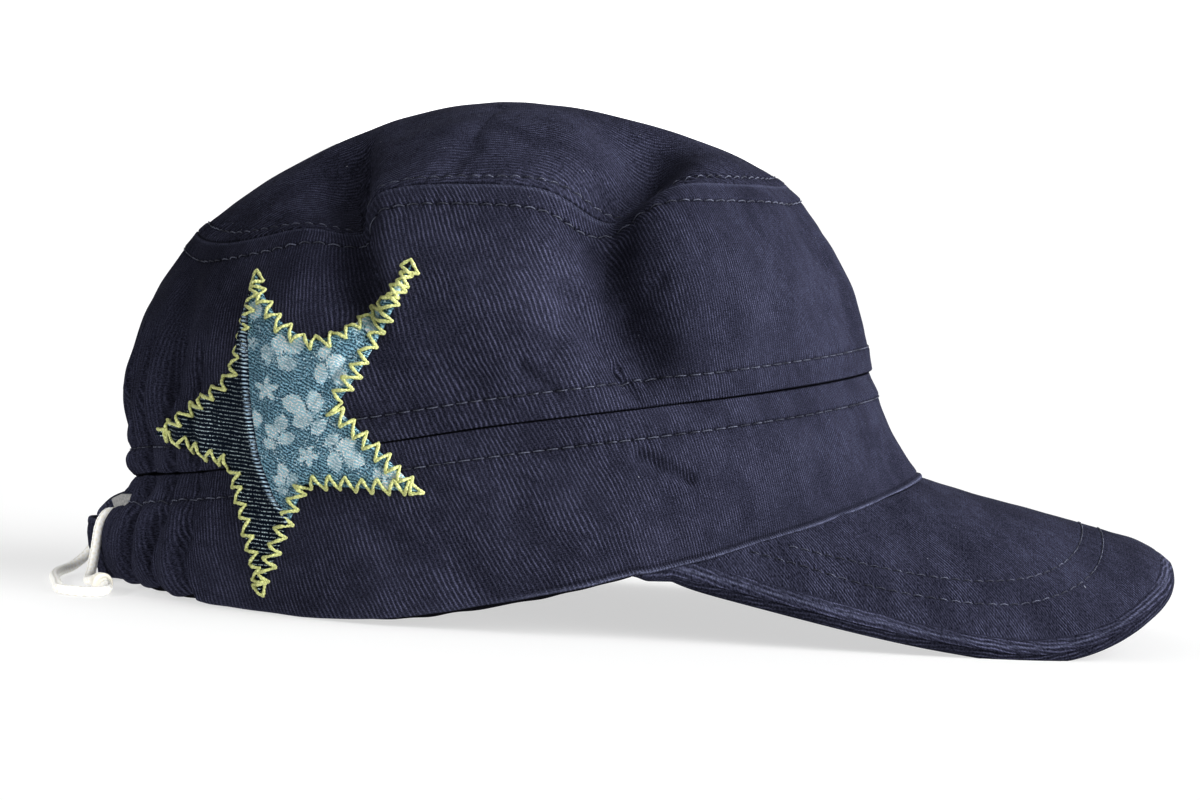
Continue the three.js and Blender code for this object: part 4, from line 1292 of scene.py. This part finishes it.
def crown_stitches():
    build = Build()
    for panel, at in CROWN_ROWS:
        level = panel if at > 0 else panel + 1
        low, high = run_at(-180, level), run_at(180, level)
        if panel == BAND:
            low, high = run_at(-BAND_END + 2, level), run_at(BAND_END - 2, level)
        origin = math.ceil(low / STITCH["pitch"]) * STITCH["pitch"]
        for start, end in zip(*stitch_paths(high - origin)):
            run = origin + start + (end - start) * STITCH_PLACE
            deg = deg_at(run, level)
            height = panel_height(deg, panel)
            v = panel + (at / height if at > 0 else 1 + at / height)
            path = crown(deg, v, panel, -STITCH_SHAPE)
            ups = path - crown(deg, v, panel, 1.0)
            tube(build, path, STITCH["radius"], ups, sides=6)
    build.piece("crown_stitches", THREAD, "navy_twill")


def visor_stitches():
    build = Build()
    for row in ("inner", "outer"):
        for start, end in zip(*stitch_paths(VISOR_RUN[-1] - 2 * ROW_END)):
            run = ROW_END + start + (end - start) * STITCH_PLACE
            deg = np.interp(run, VISOR_RUN, VISOR_TABLE)
            share = 1 - row_inset(deg, row) / visor_depth(deg)
            if share.min() < 0.12:
                continue  # this stitch would be under the crown
            path, _ = visor_point(deg, share, -STITCH_SHAPE)
            below, _ = visor_point(deg, share, 1.0)
            tube(build, path, STITCH["radius"] * 0.85, path - below, sides=6)
    build.piece("visor_stitches", THREAD, "navy_twill")


crown_stitches()
visor_stitches()

# ---- Star patch ----

# The star in side view, as x and z: its tips and the notches between them.
STAR = {
    "A": (-96.1, 82.8), "AB": (-80.5, 68.2), "B": (-56.8, 89.3), "BC": (-73.7, 52.7), "C": (-51.6, 33.5),
    "CD": (-80.1, 32.9), "D": (-90.0, 4.6), "DE": (-99.3, 35.3), "E": (-120.2, 40.4), "EA": (-100.7, 57.8),
}
STAR_MIDDLE = (-86.0, 48.0)
# Its three curved edges, each with the point that draws it in.
STAR_HOLLOWS = {("A", "AB"): (-91.0, 70.5), ("AB", "B"): (-67.2, 70.5), ("B", "BC"): (-62.8, 69.0)}
# The seam inside the star, where the denim meets the flowered cloth.
PATCH_SEAM = table(
    "x z",
    [(-60, -10), (-83, 23), (-87.7, 28.7), (-91.9, 37.8), (-94, 45.6), (-95.9, 57.8),
     (-97.5, 74.2), (-97.2, 100)],
)
PATCH = {"spacing": 0.5 if FINE else 0.9, "lift": 0.25, "thick": 0.8, "overlap": 1.2, "welt": 0.55}
# The part of the crown's side around the star, the step of its grid, and how a patch evens it out.
FIELD = {"x": (-128, -42), "z": (1.0, 97.0), "step": 0.5, "soft": 0.8, "bridge": 3.0}


def star_outline(spacing):
    names = list(STAR)
    points = []
    for name, after in zip(names, names[1:] + names[:1]):
        a, b = np.array(STAR[name]), np.array(STAR[after])
        bend = np.array(STAR_HOLLOWS.get((name, after), (a + b) / 2))
        t = np.linspace(0, 1, 41)[:, None]
        side = (1 - t) ** 2 * a + 2 * t * (1 - t) * bend + t**2 * b
        points.append(even(side, spacing)[:-1])
    return np.concatenate(points)


def side_field():
    """How far out the crown's right side is, on a grid in side view, smoothed as cloth bridges it."""
    points = np.concatenate([band_outer.reshape(-1, 3), side_outer.reshape(-1, 3)])
    faces = [quads(*band_outer.shape[:2])]
    faces.append(quads(*side_outer.shape[:2], loop=True, start=band_outer[..., 0].size))
    tree = BVHTree.FromPolygons(points.tolist(), np.concatenate(faces).tolist())
    xs = np.arange(*FIELD["x"], FIELD["step"])
    zs = np.arange(*FIELD["z"], FIELD["step"])
    away = Vector((0, 1, 0))
    out = np.empty((len(xs), len(zs)))
    for i, x in enumerate(xs):
        for j, z in enumerate(zs):
            hit = tree.ray_cast(Vector((x, -140, z)), away)[0]
            out[i, j] = hit.y if hit else np.nan
    missed = np.isnan(out)
    out[missed] = np.nanmax(out)
    # The patch bridges narrow slits: along z, first the outermost depth nearby, then the innermost.
    reach = int(FIELD["bridge"] / FIELD["step"])
    for pick in (np.minimum, np.maximum):
        padded = np.pad(out, ((0, 0), (reach, reach)), mode="edge")
        out = pick.reduce([padded[:, k : k + len(zs)] for k in range(2 * reach + 1)])
    reach = int(3 * FIELD["soft"] / FIELD["step"])
    kernel = bell(np.arange(-reach, reach + 1) * FIELD["step"], FIELD["soft"] * math.sqrt(2))
    kernel = kernel / kernel.sum()
    # Blurred along x and turned over, then along z and turned back.
    for _ in ("x", "z"):
        padded = np.pad(out, ((reach, reach), (0, 0)), mode="edge")
        out = sum(padded[k : k + len(out)] * part for k, part in enumerate(kernel)).T
    return xs, zs, out


SIDE_XS, SIDE_ZS, SIDE_FIELD = side_field()
SIDE_SLOPES = np.gradient(SIDE_FIELD, FIELD["step"])


def field_at(values, x, z):
    i = np.clip((x - SIDE_XS[0]) / FIELD["step"], 0, len(SIDE_XS) - 1.001)
    j = np.clip((z - SIDE_ZS[0]) / FIELD["step"], 0, len(SIDE_ZS) - 1.001)
    a, b = i.astype(int), j.astype(int)
    s, t = i - a, j - b
    low = values[a, b] * (1 - s) + values[a + 1, b] * s
    high = values[a, b + 1] * (1 - s) + values[a + 1, b + 1] * s
    return low * (1 - t) + high * t


def lay(x, z, lift):
    """A point over the crown's right side, from its place in side view and its height off the cloth."""
    x, z = np.asarray(x, float), np.asarray(z, float)
    slope_x, slope_z = field_at(SIDE_SLOPES[0], x, z), field_at(SIDE_SLOPES[1], x, z)
    normal = unit(np.stack([slope_x, -np.ones_like(x), slope_z], -1))
    base = np.stack([x, field_at(SIDE_FIELD, x, z), z], -1)
    return base + normal * np.asarray(lift)[..., None]


# Length of the cloth along x, which runs round towards the back.
ALONG_STAR = np.cumsum(np.sqrt(1 + SIDE_SLOPES[0][:, len(SIDE_ZS) // 2] ** 2)) * FIELD["step"]


def star_cloth(x, z):
    return np.stack([np.interp(x, SIDE_XS, ALONG_STAR), z, np.zeros_like(x)], -1)


def distance_to(outline, points):
    """The shortest distance from each point to a closed outline in side view."""
    a, b = outline, np.roll(outline, -1, 0)
    best = np.full(len(points), np.inf)
    many = 2000
    for start in range(0, len(points), many):
        p = points[start : start + many, None]
        line = b - a
        share = np.clip(((p - a) * line).sum(-1) / np.maximum((line**2).sum(-1), 1e-9), 0, 1)
        gap = p - (a + share[..., None] * line)
        best[start : start + many] = np.sqrt((gap**2).sum(-1).min(1))
    return best


def inside(outline, points):
    """Whether each point is inside an outline: a line from it then crosses an odd number of edges."""
    x, z = points[:, :1], points[:, 1:]
    a, b = outline, np.roll(outline, -1, 0)
    spans = (a[:, 1] > z) != (b[:, 1] > z)
    rise = np.where(b[:, 1] == a[:, 1], 1e-9, b[:, 1] - a[:, 1])
    cross = a[:, 0] + (z - a[:, 1]) * (b[:, 0] - a[:, 0]) / rise
    return ((spans & (x < cross)).sum(1) % 2) == 1


OUTLINE = star_outline(0.5)
SEAM_Z = np.linspace(-10, 100, 400)
SEAM_LINE = np.stack([read(PATCH_SEAM, "z", "x", SEAM_Z), SEAM_Z], -1)


def seam_x(z):
    return np.interp(z, SEAM_LINE[:, 1], SEAM_LINE[:, 0])


def half_star(behind, shift):
    """The outline of the part of the star behind its seam, or ahead of it."""
    ahead = OUTLINE[:, 0] - seam_x(OUTLINE[:, 1]) - shift
    keep = ahead < 0 if behind else ahead > 0
    first = np.flatnonzero(keep & ~np.roll(keep, 1))[0]
    kept = np.roll(OUTLINE, -first, 0)[: keep.sum()]
    z = even(np.array([[kept[-1][1]], [kept[0][1]]]), PATCH["spacing"])[1:-1, 0]
    seam = np.stack([seam_x(z) + shift, z], -1)
    return np.concatenate([kept, seam])


NEEDLES = {"pitch": 3.9, "out": 1.05, "in": 2.4, "slant": 0.45, "uneven": (0.16, 0.3)}
ZIGZAG_THREAD = {"radius": 0.48, "dive": 0.15, "arch": 0.34}


def needle_points():
    """Where the zigzag goes through the cloth, by turns inside and outside the star's outline."""
    path = np.concatenate([OUTLINE, OUTLINE[:1]])
    length = run_along(path)[-1]
    count = 2 * int(round(length / NEEDLES["pitch"]))
    rng = np.random.default_rng(81)
    slanted = NEEDLES["slant"] * (np.arange(count) % 2)  # every second leg is the steeper one
    along_by, across_by = NEEDLES["uneven"]
    at = (np.arange(count) + slanted + rng.uniform(-along_by, along_by, count)) * length / count
    place = points_at(path, at)
    along = unit(points_at(path, (at + 1.1) % length) - points_at(path, (at - 1.1) % length))
    out = np.stack([-along[:, 1], along[:, 0]], -1)
    spin = np.sign(((place - STAR_MIDDLE) * out).sum(-1).mean())
    offsets = np.where(np.arange(count) % 2 == 0, NEEDLES["out"], -NEEDLES["in"])
    offsets = offsets + rng.uniform(-across_by, across_by, count)
    return place + out * spin * offsets[:, None], offsets < 0


NEEDLE_POINTS, NEEDLE_INSIDE = needle_points()


def patch_lift(points, outline):
    """Height of a patch's top over the crown: rounded at its edge and drawn in by the stitches."""
    edge = distance_to(outline, points)
    drawn = np.zeros(len(points))
    for needle in NEEDLE_POINTS[NEEDLE_INSIDE]:
        drawn = np.maximum(drawn, bell(np.linalg.norm(points - needle, axis=1), 1.0))
    uneven = waves(lay(*points.T, np.zeros(len(points))), 9, 91)
    lift = PATCH["lift"] + PATCH["thick"] - 0.75 * rounded(edge, 0.7)
    return lift - 0.32 * drawn + 0.28 * smooth(2.5, 6, edge) + 0.12 * uneven


def triangulate(outline):
    """Triangles of an outline in side view, filled with evenly spaced points."""
    gap = PATCH["spacing"]
    low, high = outline.min(0), outline.max(0)
    points = []
    for k, z in enumerate(np.arange(low[1], high[1], gap * 0.866)):
        points += [(x, z) for x in np.arange(low[0] + (k % 2) * gap / 2, high[0], gap)]
    points = np.array(points)
    points = points[inside(outline, points)]
    points = points[distance_to(outline, points) > gap * 0.45]
    vertices = [Vector(p) for p in np.concatenate([outline, points])]
    found = delaunay_2d_cdt(vertices, [], [list(range(len(outline)))], 1, 1e-4)
    places = np.array([tuple(v) for v in found[0]])
    faces = np.array([face for face in found[2] if len(face) == 3])
    a, b, c = (places[faces[:, k]] for k in range(3))
    return places, np.where((np.cross(b - a, c - a) < 0)[:, None], faces[:, ::-1], faces)


def rim_edges(faces):
    """Directed edges that only one triangle has."""
    edges = np.concatenate([faces[:, [0, 1]], faces[:, [1, 2]], faces[:, [2, 0]]])
    keys = np.sort(edges, 1)
    _, place, counts = np.unique(keys, axis=0, return_inverse=True, return_counts=True)
    return edges[counts[place.ravel()] == 1]


def patch(name, outline, material, slot, swell, **values):
    """Makes a piece of the star. swell(x, z) lifts it and each value is a function of x and z."""
    places, faces = triangulate(outline)
    x, z = places.T
    more = swell(x, z)
    top = lay(x, z, patch_lift(places, outline) + more)
    low = lay(x, z, PATCH["lift"] - 0.15 + more * 0.7)
    count = len(places)
    rim = rim_edges(faces)
    wall = np.stack([rim[:, 1], rim[:, 0], rim[:, 0] + count, rim[:, 1] + count], -1)
    build = Build()
    cloth = np.concatenate([star_cloth(x, z)] * 2)
    both = {key: np.concatenate([made(x, z)] * 2) for key, made in values.items()}
    build.add(np.concatenate([top, low]), [faces, faces[:, ::-1] + count, wall], cloth=cloth, **both)
    build.piece(name + "_cloth", material, slot, [name])


# A print of sprigs and blossoms: kind, place in side view, size and turn in degrees.
PRINT = [
    ("sprig", -87.5, 64.0, 12.0, 40),
    ("sprig", -76.0, 62.5, 11.0, -35),
    ("blossom", -90.5, 55.5, 6.4, 20),
    ("sprig", -67.5, 72.5, 9.0, 50),
    ("sprig", -79.0, 51.0, 13.0, 160),
    ("blossom", -71.0, 52.0, 5.0, 40),
    ("sprig", -87.0, 44.0, 10.0, 80),
    ("sprig", -72.0, 41.5, 12.0, -20),
    ("blossom", -79.5, 40.0, 5.6, 0),
    ("sprig", -60.0, 36.0, 8.0, 15),
    ("sprig", -84.5, 33.0, 8.0, 110),
    ("leaf", -95.0, 74.0, 5.0, 80),
    ("leaf", -60.5, 82.0, 5.0, 55),
    ("leaf", -93.0, 48.0, 4.4, 100),
    ("blossom", -95.0, 66.0, 3.6, 0),
]
# The leaves of a sprig: place along and across its stem and length, as shares of its size, and turn.
SPRIG = [(0.36, 0.0, 0.5, 0), (0.1, 0.2, 0.44, 50), (0.02, -0.21, 0.44, -55), (-0.22, 0.19, 0.36, 65)]


def leaf(a, b, size):
    half = size / 2
    width = 0.36 * size * np.clip(1 - (a / half) ** 2, 0, 1) ** 0.8
    middle = 0.12 * a**2 / size
    vein = 0.2 * bell(b - middle, 0.2) * (np.abs(a) < half * 0.8)
    return 0.5 + (width - np.abs(b - middle)) * 0.8 - vein * 2.2


def printed(x, z):
    """How surely a place is on a motif of the print, from 0 to 1."""
    best = np.zeros_like(x)
    for kind, at_x, at_z, size, turn in PRINT:
        way = math.radians(turn)
        a = (x - at_x) * math.cos(way) + (z - at_z) * math.sin(way)
        b = (z - at_z) * math.cos(way) - (x - at_x) * math.sin(way)
        if kind == "leaf":
            value = leaf(a, b, size)
        elif kind == "sprig":
            beyond = np.maximum(np.abs(a) - size * 0.45, 0)
            value = 0.62 - 0.9 * np.abs(b - 0.012 * a * a) - beyond
            for along, across, long, lean_by in SPRIG:
                off_a, off_b, lean_by = a - along * size, b - across * size, math.radians(lean_by)
                leaf_a = off_a * math.cos(lean_by) + off_b * math.sin(lean_by)
                leaf_b = off_b * math.cos(lean_by) - off_a * math.sin(lean_by)
                value = np.maximum(value, leaf(leaf_a, leaf_b, long * size))
        else:
            radius, angle = np.hypot(a, b), np.arctan2(b, a)
            petal = size * (0.36 + 0.14 * np.cos(5 * angle))
            value = 0.5 + (petal - radius) * 0.9 - 1.2 * bell(radius, 0.14 * size)
        best = np.maximum(best, np.clip(value, 0, 1))
    return best


# A crease in the flowered cloth.
PINCH = {"from": (-70.0, 66.5), "to": (-80.5, 51.5), "width": 0.7, "deep": 0.75}


def pinch(x, z):
    """A crease drawn across the flowered cloth, with a puff on each side."""
    start = np.array(PINCH["from"])
    line = np.array(PINCH["to"]) - start
    place = np.stack([x, z], -1) - start
    share = np.clip(place @ line / (line @ line), 0, 1)
    away = np.linalg.norm(place - share[:, None] * line, axis=-1)
    faded_and_highlight = np.sin(math.pi * np.clip(share, 0.06, 0.94))
    return PINCH["deep"] * faded_and_highlight * (0.6 * bell(away - 2.0, 1.5) - bell(away, PINCH["width"]))


def behind_seam(x, z):
    """How far a place is behind the denim's turned edge, in mm."""
    return seam_x(z) + PATCH["overlap"] / 2 - x


def welt(x, z):
    """The turned edge of the denim, which stands up along the seam."""
    behind = behind_seam(x, z)
    return 0.55 * (1 - smooth(2.6, 4.4, behind)) + PATCH["welt"] * bell(behind - 1.4, 0.95)


def denim_wear(x, z):
    return 0.9 * bell(behind_seam(x, z) - 0.7, 0.36)


flowered_half = half_star(False, -PATCH["overlap"] / 2)
denim_half = half_star(True, PATCH["overlap"] / 2)
patch("star_floral", flowered_half, FLOWERED, "floral_cotton", pinch, print=printed)
patch("star_denim", denim_half, DENIM, "denim", welt, wear=denim_wear)


def zigzag():
    build = Build()
    share = np.linspace(0, 1, 15)
    arch = (4 * share * (1 - share)) ** 0.35
    dive = ZIGZAG_THREAD["dive"]
    for k, (a, b) in enumerate(zip(NEEDLE_POINTS, np.roll(NEEDLE_POINTS, -1, 0))):
        line = a + (b - a) * share[:, None]
        within = np.where(inside(OUTLINE, line), 1, -1) * distance_to(OUTLINE, line)
        cloth = (PATCH["lift"] + PATCH["thick"] + 0.1) * smooth(-0.7, 0.7, within)
        lift = cloth - dive + (dive + ZIGZAG_THREAD["arch"]) * arch
        path = lay(*line.T, lift)
        radii = ZIGZAG_THREAD["radius"] * (0.9 + 0.14 * np.sin(share * 9 + k))
        tube(build, path, radii, path - lay(*line.T, lift - 1), sides=9, pattern=two_ply)
    build.piece("star_zigzag", ZIGZAG, "braided_cord")


def two_ply(along, turn):
    return 0.05 * np.sin(7 * along + turn)


zigzag()

# ---- Back closure ----

# The strap's plan on one side, as x and y. The flap's path and the keeper's outline, as x and z.
STRAP_HALF = [
    (-124.6, 17), (-125, 12), (-125.8, 8.4), (-127.8, 6.3), (-131.4, 5.8), (-135.6, 5.5), (-138.3, 3.6),
]
STRAP = {"middle": (-139.0, 0.0), "thick": 1.6, "low": 0.6, "high": 15.6, "drawn": 3.6}
FLAP_PATH = [
    (-123.2, 22.0), (-125.2, 22.4), (-127.4, 22.4), (-129.4, 22.0), (-131.4, 21.3), (-133.4, 20.3),
    (-135.1, 18.9), (-136.4, 17.0), (-136.0, 16.1), (-135.0, 17.3), (-133.5, 18.9), (-132.0, 19.9),
    (-129.8, 20.5),
]
FLAP = {"half": 7.9, "aside": 0.6, "thick": 1.2}
KEEPER_OUTLINE = [
    (-127.2, 23.4), (-130.3, 22.9), (-133.2, 21.2), (-132.2, 19.1), (-131.1, 17.8), (-130.1, 18.8),
    (-127.2, 20.6),
]
KEEPER = {"from": (-133.3, -8.2), "slope": 1.35, "half": 0.5}  # it lies along the gathered cloth


def ribbon(name, path, across, half, thick, soft, seed, shape=None):
    """A flat strip along a path: across is the way of its width, and half is half of that."""
    along = unit(np.gradient(path, axis=0))
    across = np.broadcast_to(np.asarray(across, float), path.shape)
    facing = unit(np.cross(along, across))[:, None]
    turn = np.linspace(0, 2 * math.pi, 64, endpoint=False)
    wide = np.sign(np.cos(turn)) * np.abs(np.cos(turn)) ** 0.35 * half
    deep = np.sign(np.sin(turn)) * np.abs(np.sin(turn)) ** 0.35 * thick / 2
    stitched = 0.16 * bell(np.abs(wide) - half + 1.9, 0.5) * np.sign(deep)
    points = path[:, None] + across[:, None] * wide[:, None] + facing * deep[:, None]
    points = points + facing * (soft * waves(points, 9, seed) - stitched)[..., None]
    if shape:
        points = shape(points)
    rows, columns = points.shape[:2]
    ring = np.arange(columns)
    first_cap = fan(ring, rows * columns)[:, ::-1]
    last_cap = fan(ring + (rows - 1) * columns, rows * columns + 1)
    run, up = np.meshgrid(run_along(path), wide, indexing="ij")
    cloth = np.stack([run, up, 0 * up + 7], -1).reshape(-1, 3)
    cloth = np.vstack([cloth, cloth[:1], cloth[-1:]])
    # The whole strip is darkened a quarter of the way, with the same mix that paints shade into the seams.
    values = all_over(len(cloth), ribs=0.6, dye=0.25)
    values["wear"][: up.size] = 0.5 * bell(np.abs(up) - half, 0.8).ravel()
    points = np.vstack([points.reshape(-1, 3), points[0].mean(0), points[-1].mean(0)])
    build = Build()
    build.add(points, [quads(rows, columns, loop=True), first_cap, last_cap], cloth=cloth, **values)
    build.piece(name + "_cloth", NAVY, "navy_twill", [name])


def drawn_in(points):
    """The strap leans in to the band at its foot."""
    lean_by = 1 - smooth(0, 11, points[..., 2])
    out = 1 - smooth(-136, -127, points[..., 0])
    return points + np.stack([STRAP["drawn"] * lean_by * out, 0 * out, 0 * out], -1)


def make_closure():
    half = [(x, y, 0) for x, y in STRAP_HALF]
    plan = half + [(*STRAP["middle"], 0)] + [(x, -y, 0) for x, y, _ in half[::-1]]
    middle, tall = (STRAP["low"] + STRAP["high"]) / 2, (STRAP["high"] - STRAP["low"]) / 2
    path = curve_through(plan, 0.5) + np.array([0, 0, middle])
    ribbon("back_strap", path, (0, 0, 1), tall, STRAP["thick"], 0.15, 101, drawn_in)
    path = curve_through([(x, FLAP["aside"], z) for x, z in FLAP_PATH], 0.4)
    ribbon("back_flap", path, (0, 1, 0), FLAP["half"], FLAP["thick"], 0.12, 102)


def make_keeper():
    """A scrap of grey tape, rounded at its edge."""
    outline = even(np.array([*KEEPER_OUTLINE, KEEPER_OUTLINE[0]]), 0.35)[:-1]
    inward = unit(outline.mean(0) - outline)
    from_x, from_y = KEEPER["from"]
    rows = []
    for inset, aside in ((0.35, -1.0), (0.12, -1.0), (0.0, -0.5), (0.0, 0.5), (0.12, 1.0), (0.35, 1.0)):
        x, z = (outline + inward * inset).T
        y = from_y - (x - from_x) * KEEPER["slope"] + aside * KEEPER["half"]
        rows.append(np.stack([x, y, z], -1))
    grid = np.array(rows)
    count, size = len(outline), grid[..., 0].size
    first_cap = fan(np.arange(count), size)
    last_cap = fan(np.arange(size - count, size), size + 1)[:, ::-1]
    points = np.vstack([grid.reshape(-1, 3), grid[0].mean(0), grid[-1].mean(0)])
    build = Build()
    build.add(points, [quads(len(rows), count, loop=True, flip=True), first_cap, last_cap])
    build.piece("cord_keeper_tape", TAPE, "grey_tape", ["cord_keeper"])


make_closure()
make_keeper()

# ---- Stage and light ----

FLOOR = {"size": 9000, "colour": (0.28, 0.28, 0.28), "glow": 0.66}  # a lit white table
# Light from all round: a wide softbox ahead of the cap, one above and behind it, white behind.
SKY = {"rear": 0.32, "front": 0.35, "backdrop": 1.1}
SOFTBOXES = [
    {"way": (0.93, -0.27, 0.26), "edge": 0.62, "core": 1.0, "power": 7.7},
    {"way": (0.0, 0.5, 0.87), "edge": 0.3, "core": 0.95, "power": 0.3},
]
CORD_LAMP = {"place": (-400, -420, 190), "aim": (-141, -20, 9), "cone": 13, "size": 0.03, "power": 6.5}


def make_floor():
    half = FLOOR["size"] / 2 * MM
    mesh = bpy.data.meshes.new("floor")
    corners = [(-half, -half, 0), (half, -half, 0), (half, half, 0), (-half, half, 0)]
    mesh.from_pydata(corners, [], [(0, 1, 2, 3)])
    s = Shader("white_table", roughness=1.0, specular=0.0)
    s.surface.inputs["Emission Color"].default_value = (1, 1, 1, 1)
    s.surface.inputs["Emission Strength"].default_value = FLOOR["glow"]
    s.surface.inputs["Base Color"].default_value = (*FLOOR["colour"], 1)
    mesh.materials.append(s.material)
    floor = bpy.data.objects.new("floor", mesh)
    bpy.context.scene.collection.objects.link(floor)
    return floor


def make_cord_lamp():
    """A small lamp that keeps the cord as bright as it is in the photograph."""
    data = bpy.data.lights.new("cord_lamp", "SPOT")
    data.spot_size = math.radians(CORD_LAMP["cone"])
    data.spot_blend = 0.7
    data.shadow_soft_size = CORD_LAMP["size"]
    data.energy = CORD_LAMP["power"]
    light = bpy.data.objects.new("cord_lamp", data)
    place, aim = Vector(CORD_LAMP["place"]) * MM, Vector(CORD_LAMP["aim"]) * MM
    light.location = place
    light.rotation_euler = (place - aim).to_track_quat("Z", "Y").to_euler()
    bpy.context.scene.collection.objects.link(light)


def make_world():
    world = bpy.data.worlds.new("studio")
    world.use_nodes = True
    tree = world.node_tree
    way = tree.nodes.new("ShaderNodeTexCoord").outputs["Generated"]
    parts = tree.nodes.new("ShaderNodeSeparateXYZ")
    tree.links.new(way, parts.inputs[0])

    def ramp(value, low, high, to_low, to_high):
        made = tree.nodes.new("ShaderNodeMapRange")
        made.interpolation_type = "SMOOTHSTEP"
        tree.links.new(value, made.inputs["Value"])
        numbers = (low, high, to_low, to_high)
        for name, number in zip(("From Min", "From Max", "To Min", "To Max"), numbers):
            made.inputs[name].default_value = number
        return made.outputs[0]

    def softbox(way_to, edge, core, power):
        lobe = tree.nodes.new("ShaderNodeVectorMath")
        lobe.operation = "DOT_PRODUCT"
        tree.links.new(way, lobe.inputs[0])
        lobe.inputs[1].default_value = Vector(way_to).normalized()
        return ramp(lobe.outputs["Value"], edge, core, 0.0, power)

    total = ramp(parts.outputs[0], -0.7, 0.9, SKY["rear"], SKY["front"])
    boxes = [softbox(box["way"], box["edge"], box["core"], box["power"]) for box in SOFTBOXES]
    for more in (*boxes, ramp(parts.outputs[1], 0.86, 0.93, 0.0, SKY["backdrop"])):
        added = tree.nodes.new("ShaderNodeMath")
        tree.links.new(total, added.inputs[0])
        tree.links.new(more, added.inputs[1])
        total = added.outputs[0]
    background = tree.nodes["Background"]
    background.inputs["Color"].default_value = (1, 1, 1, 1)
    tree.links.new(total, background.inputs["Strength"])
    bpy.context.scene.world = world


floor = make_floor()
make_cord_lamp()
make_world()
bpy.context.scene.view_settings.view_transform = "Standard"
bpy.context.scene.view_settings.gamma = 0.8
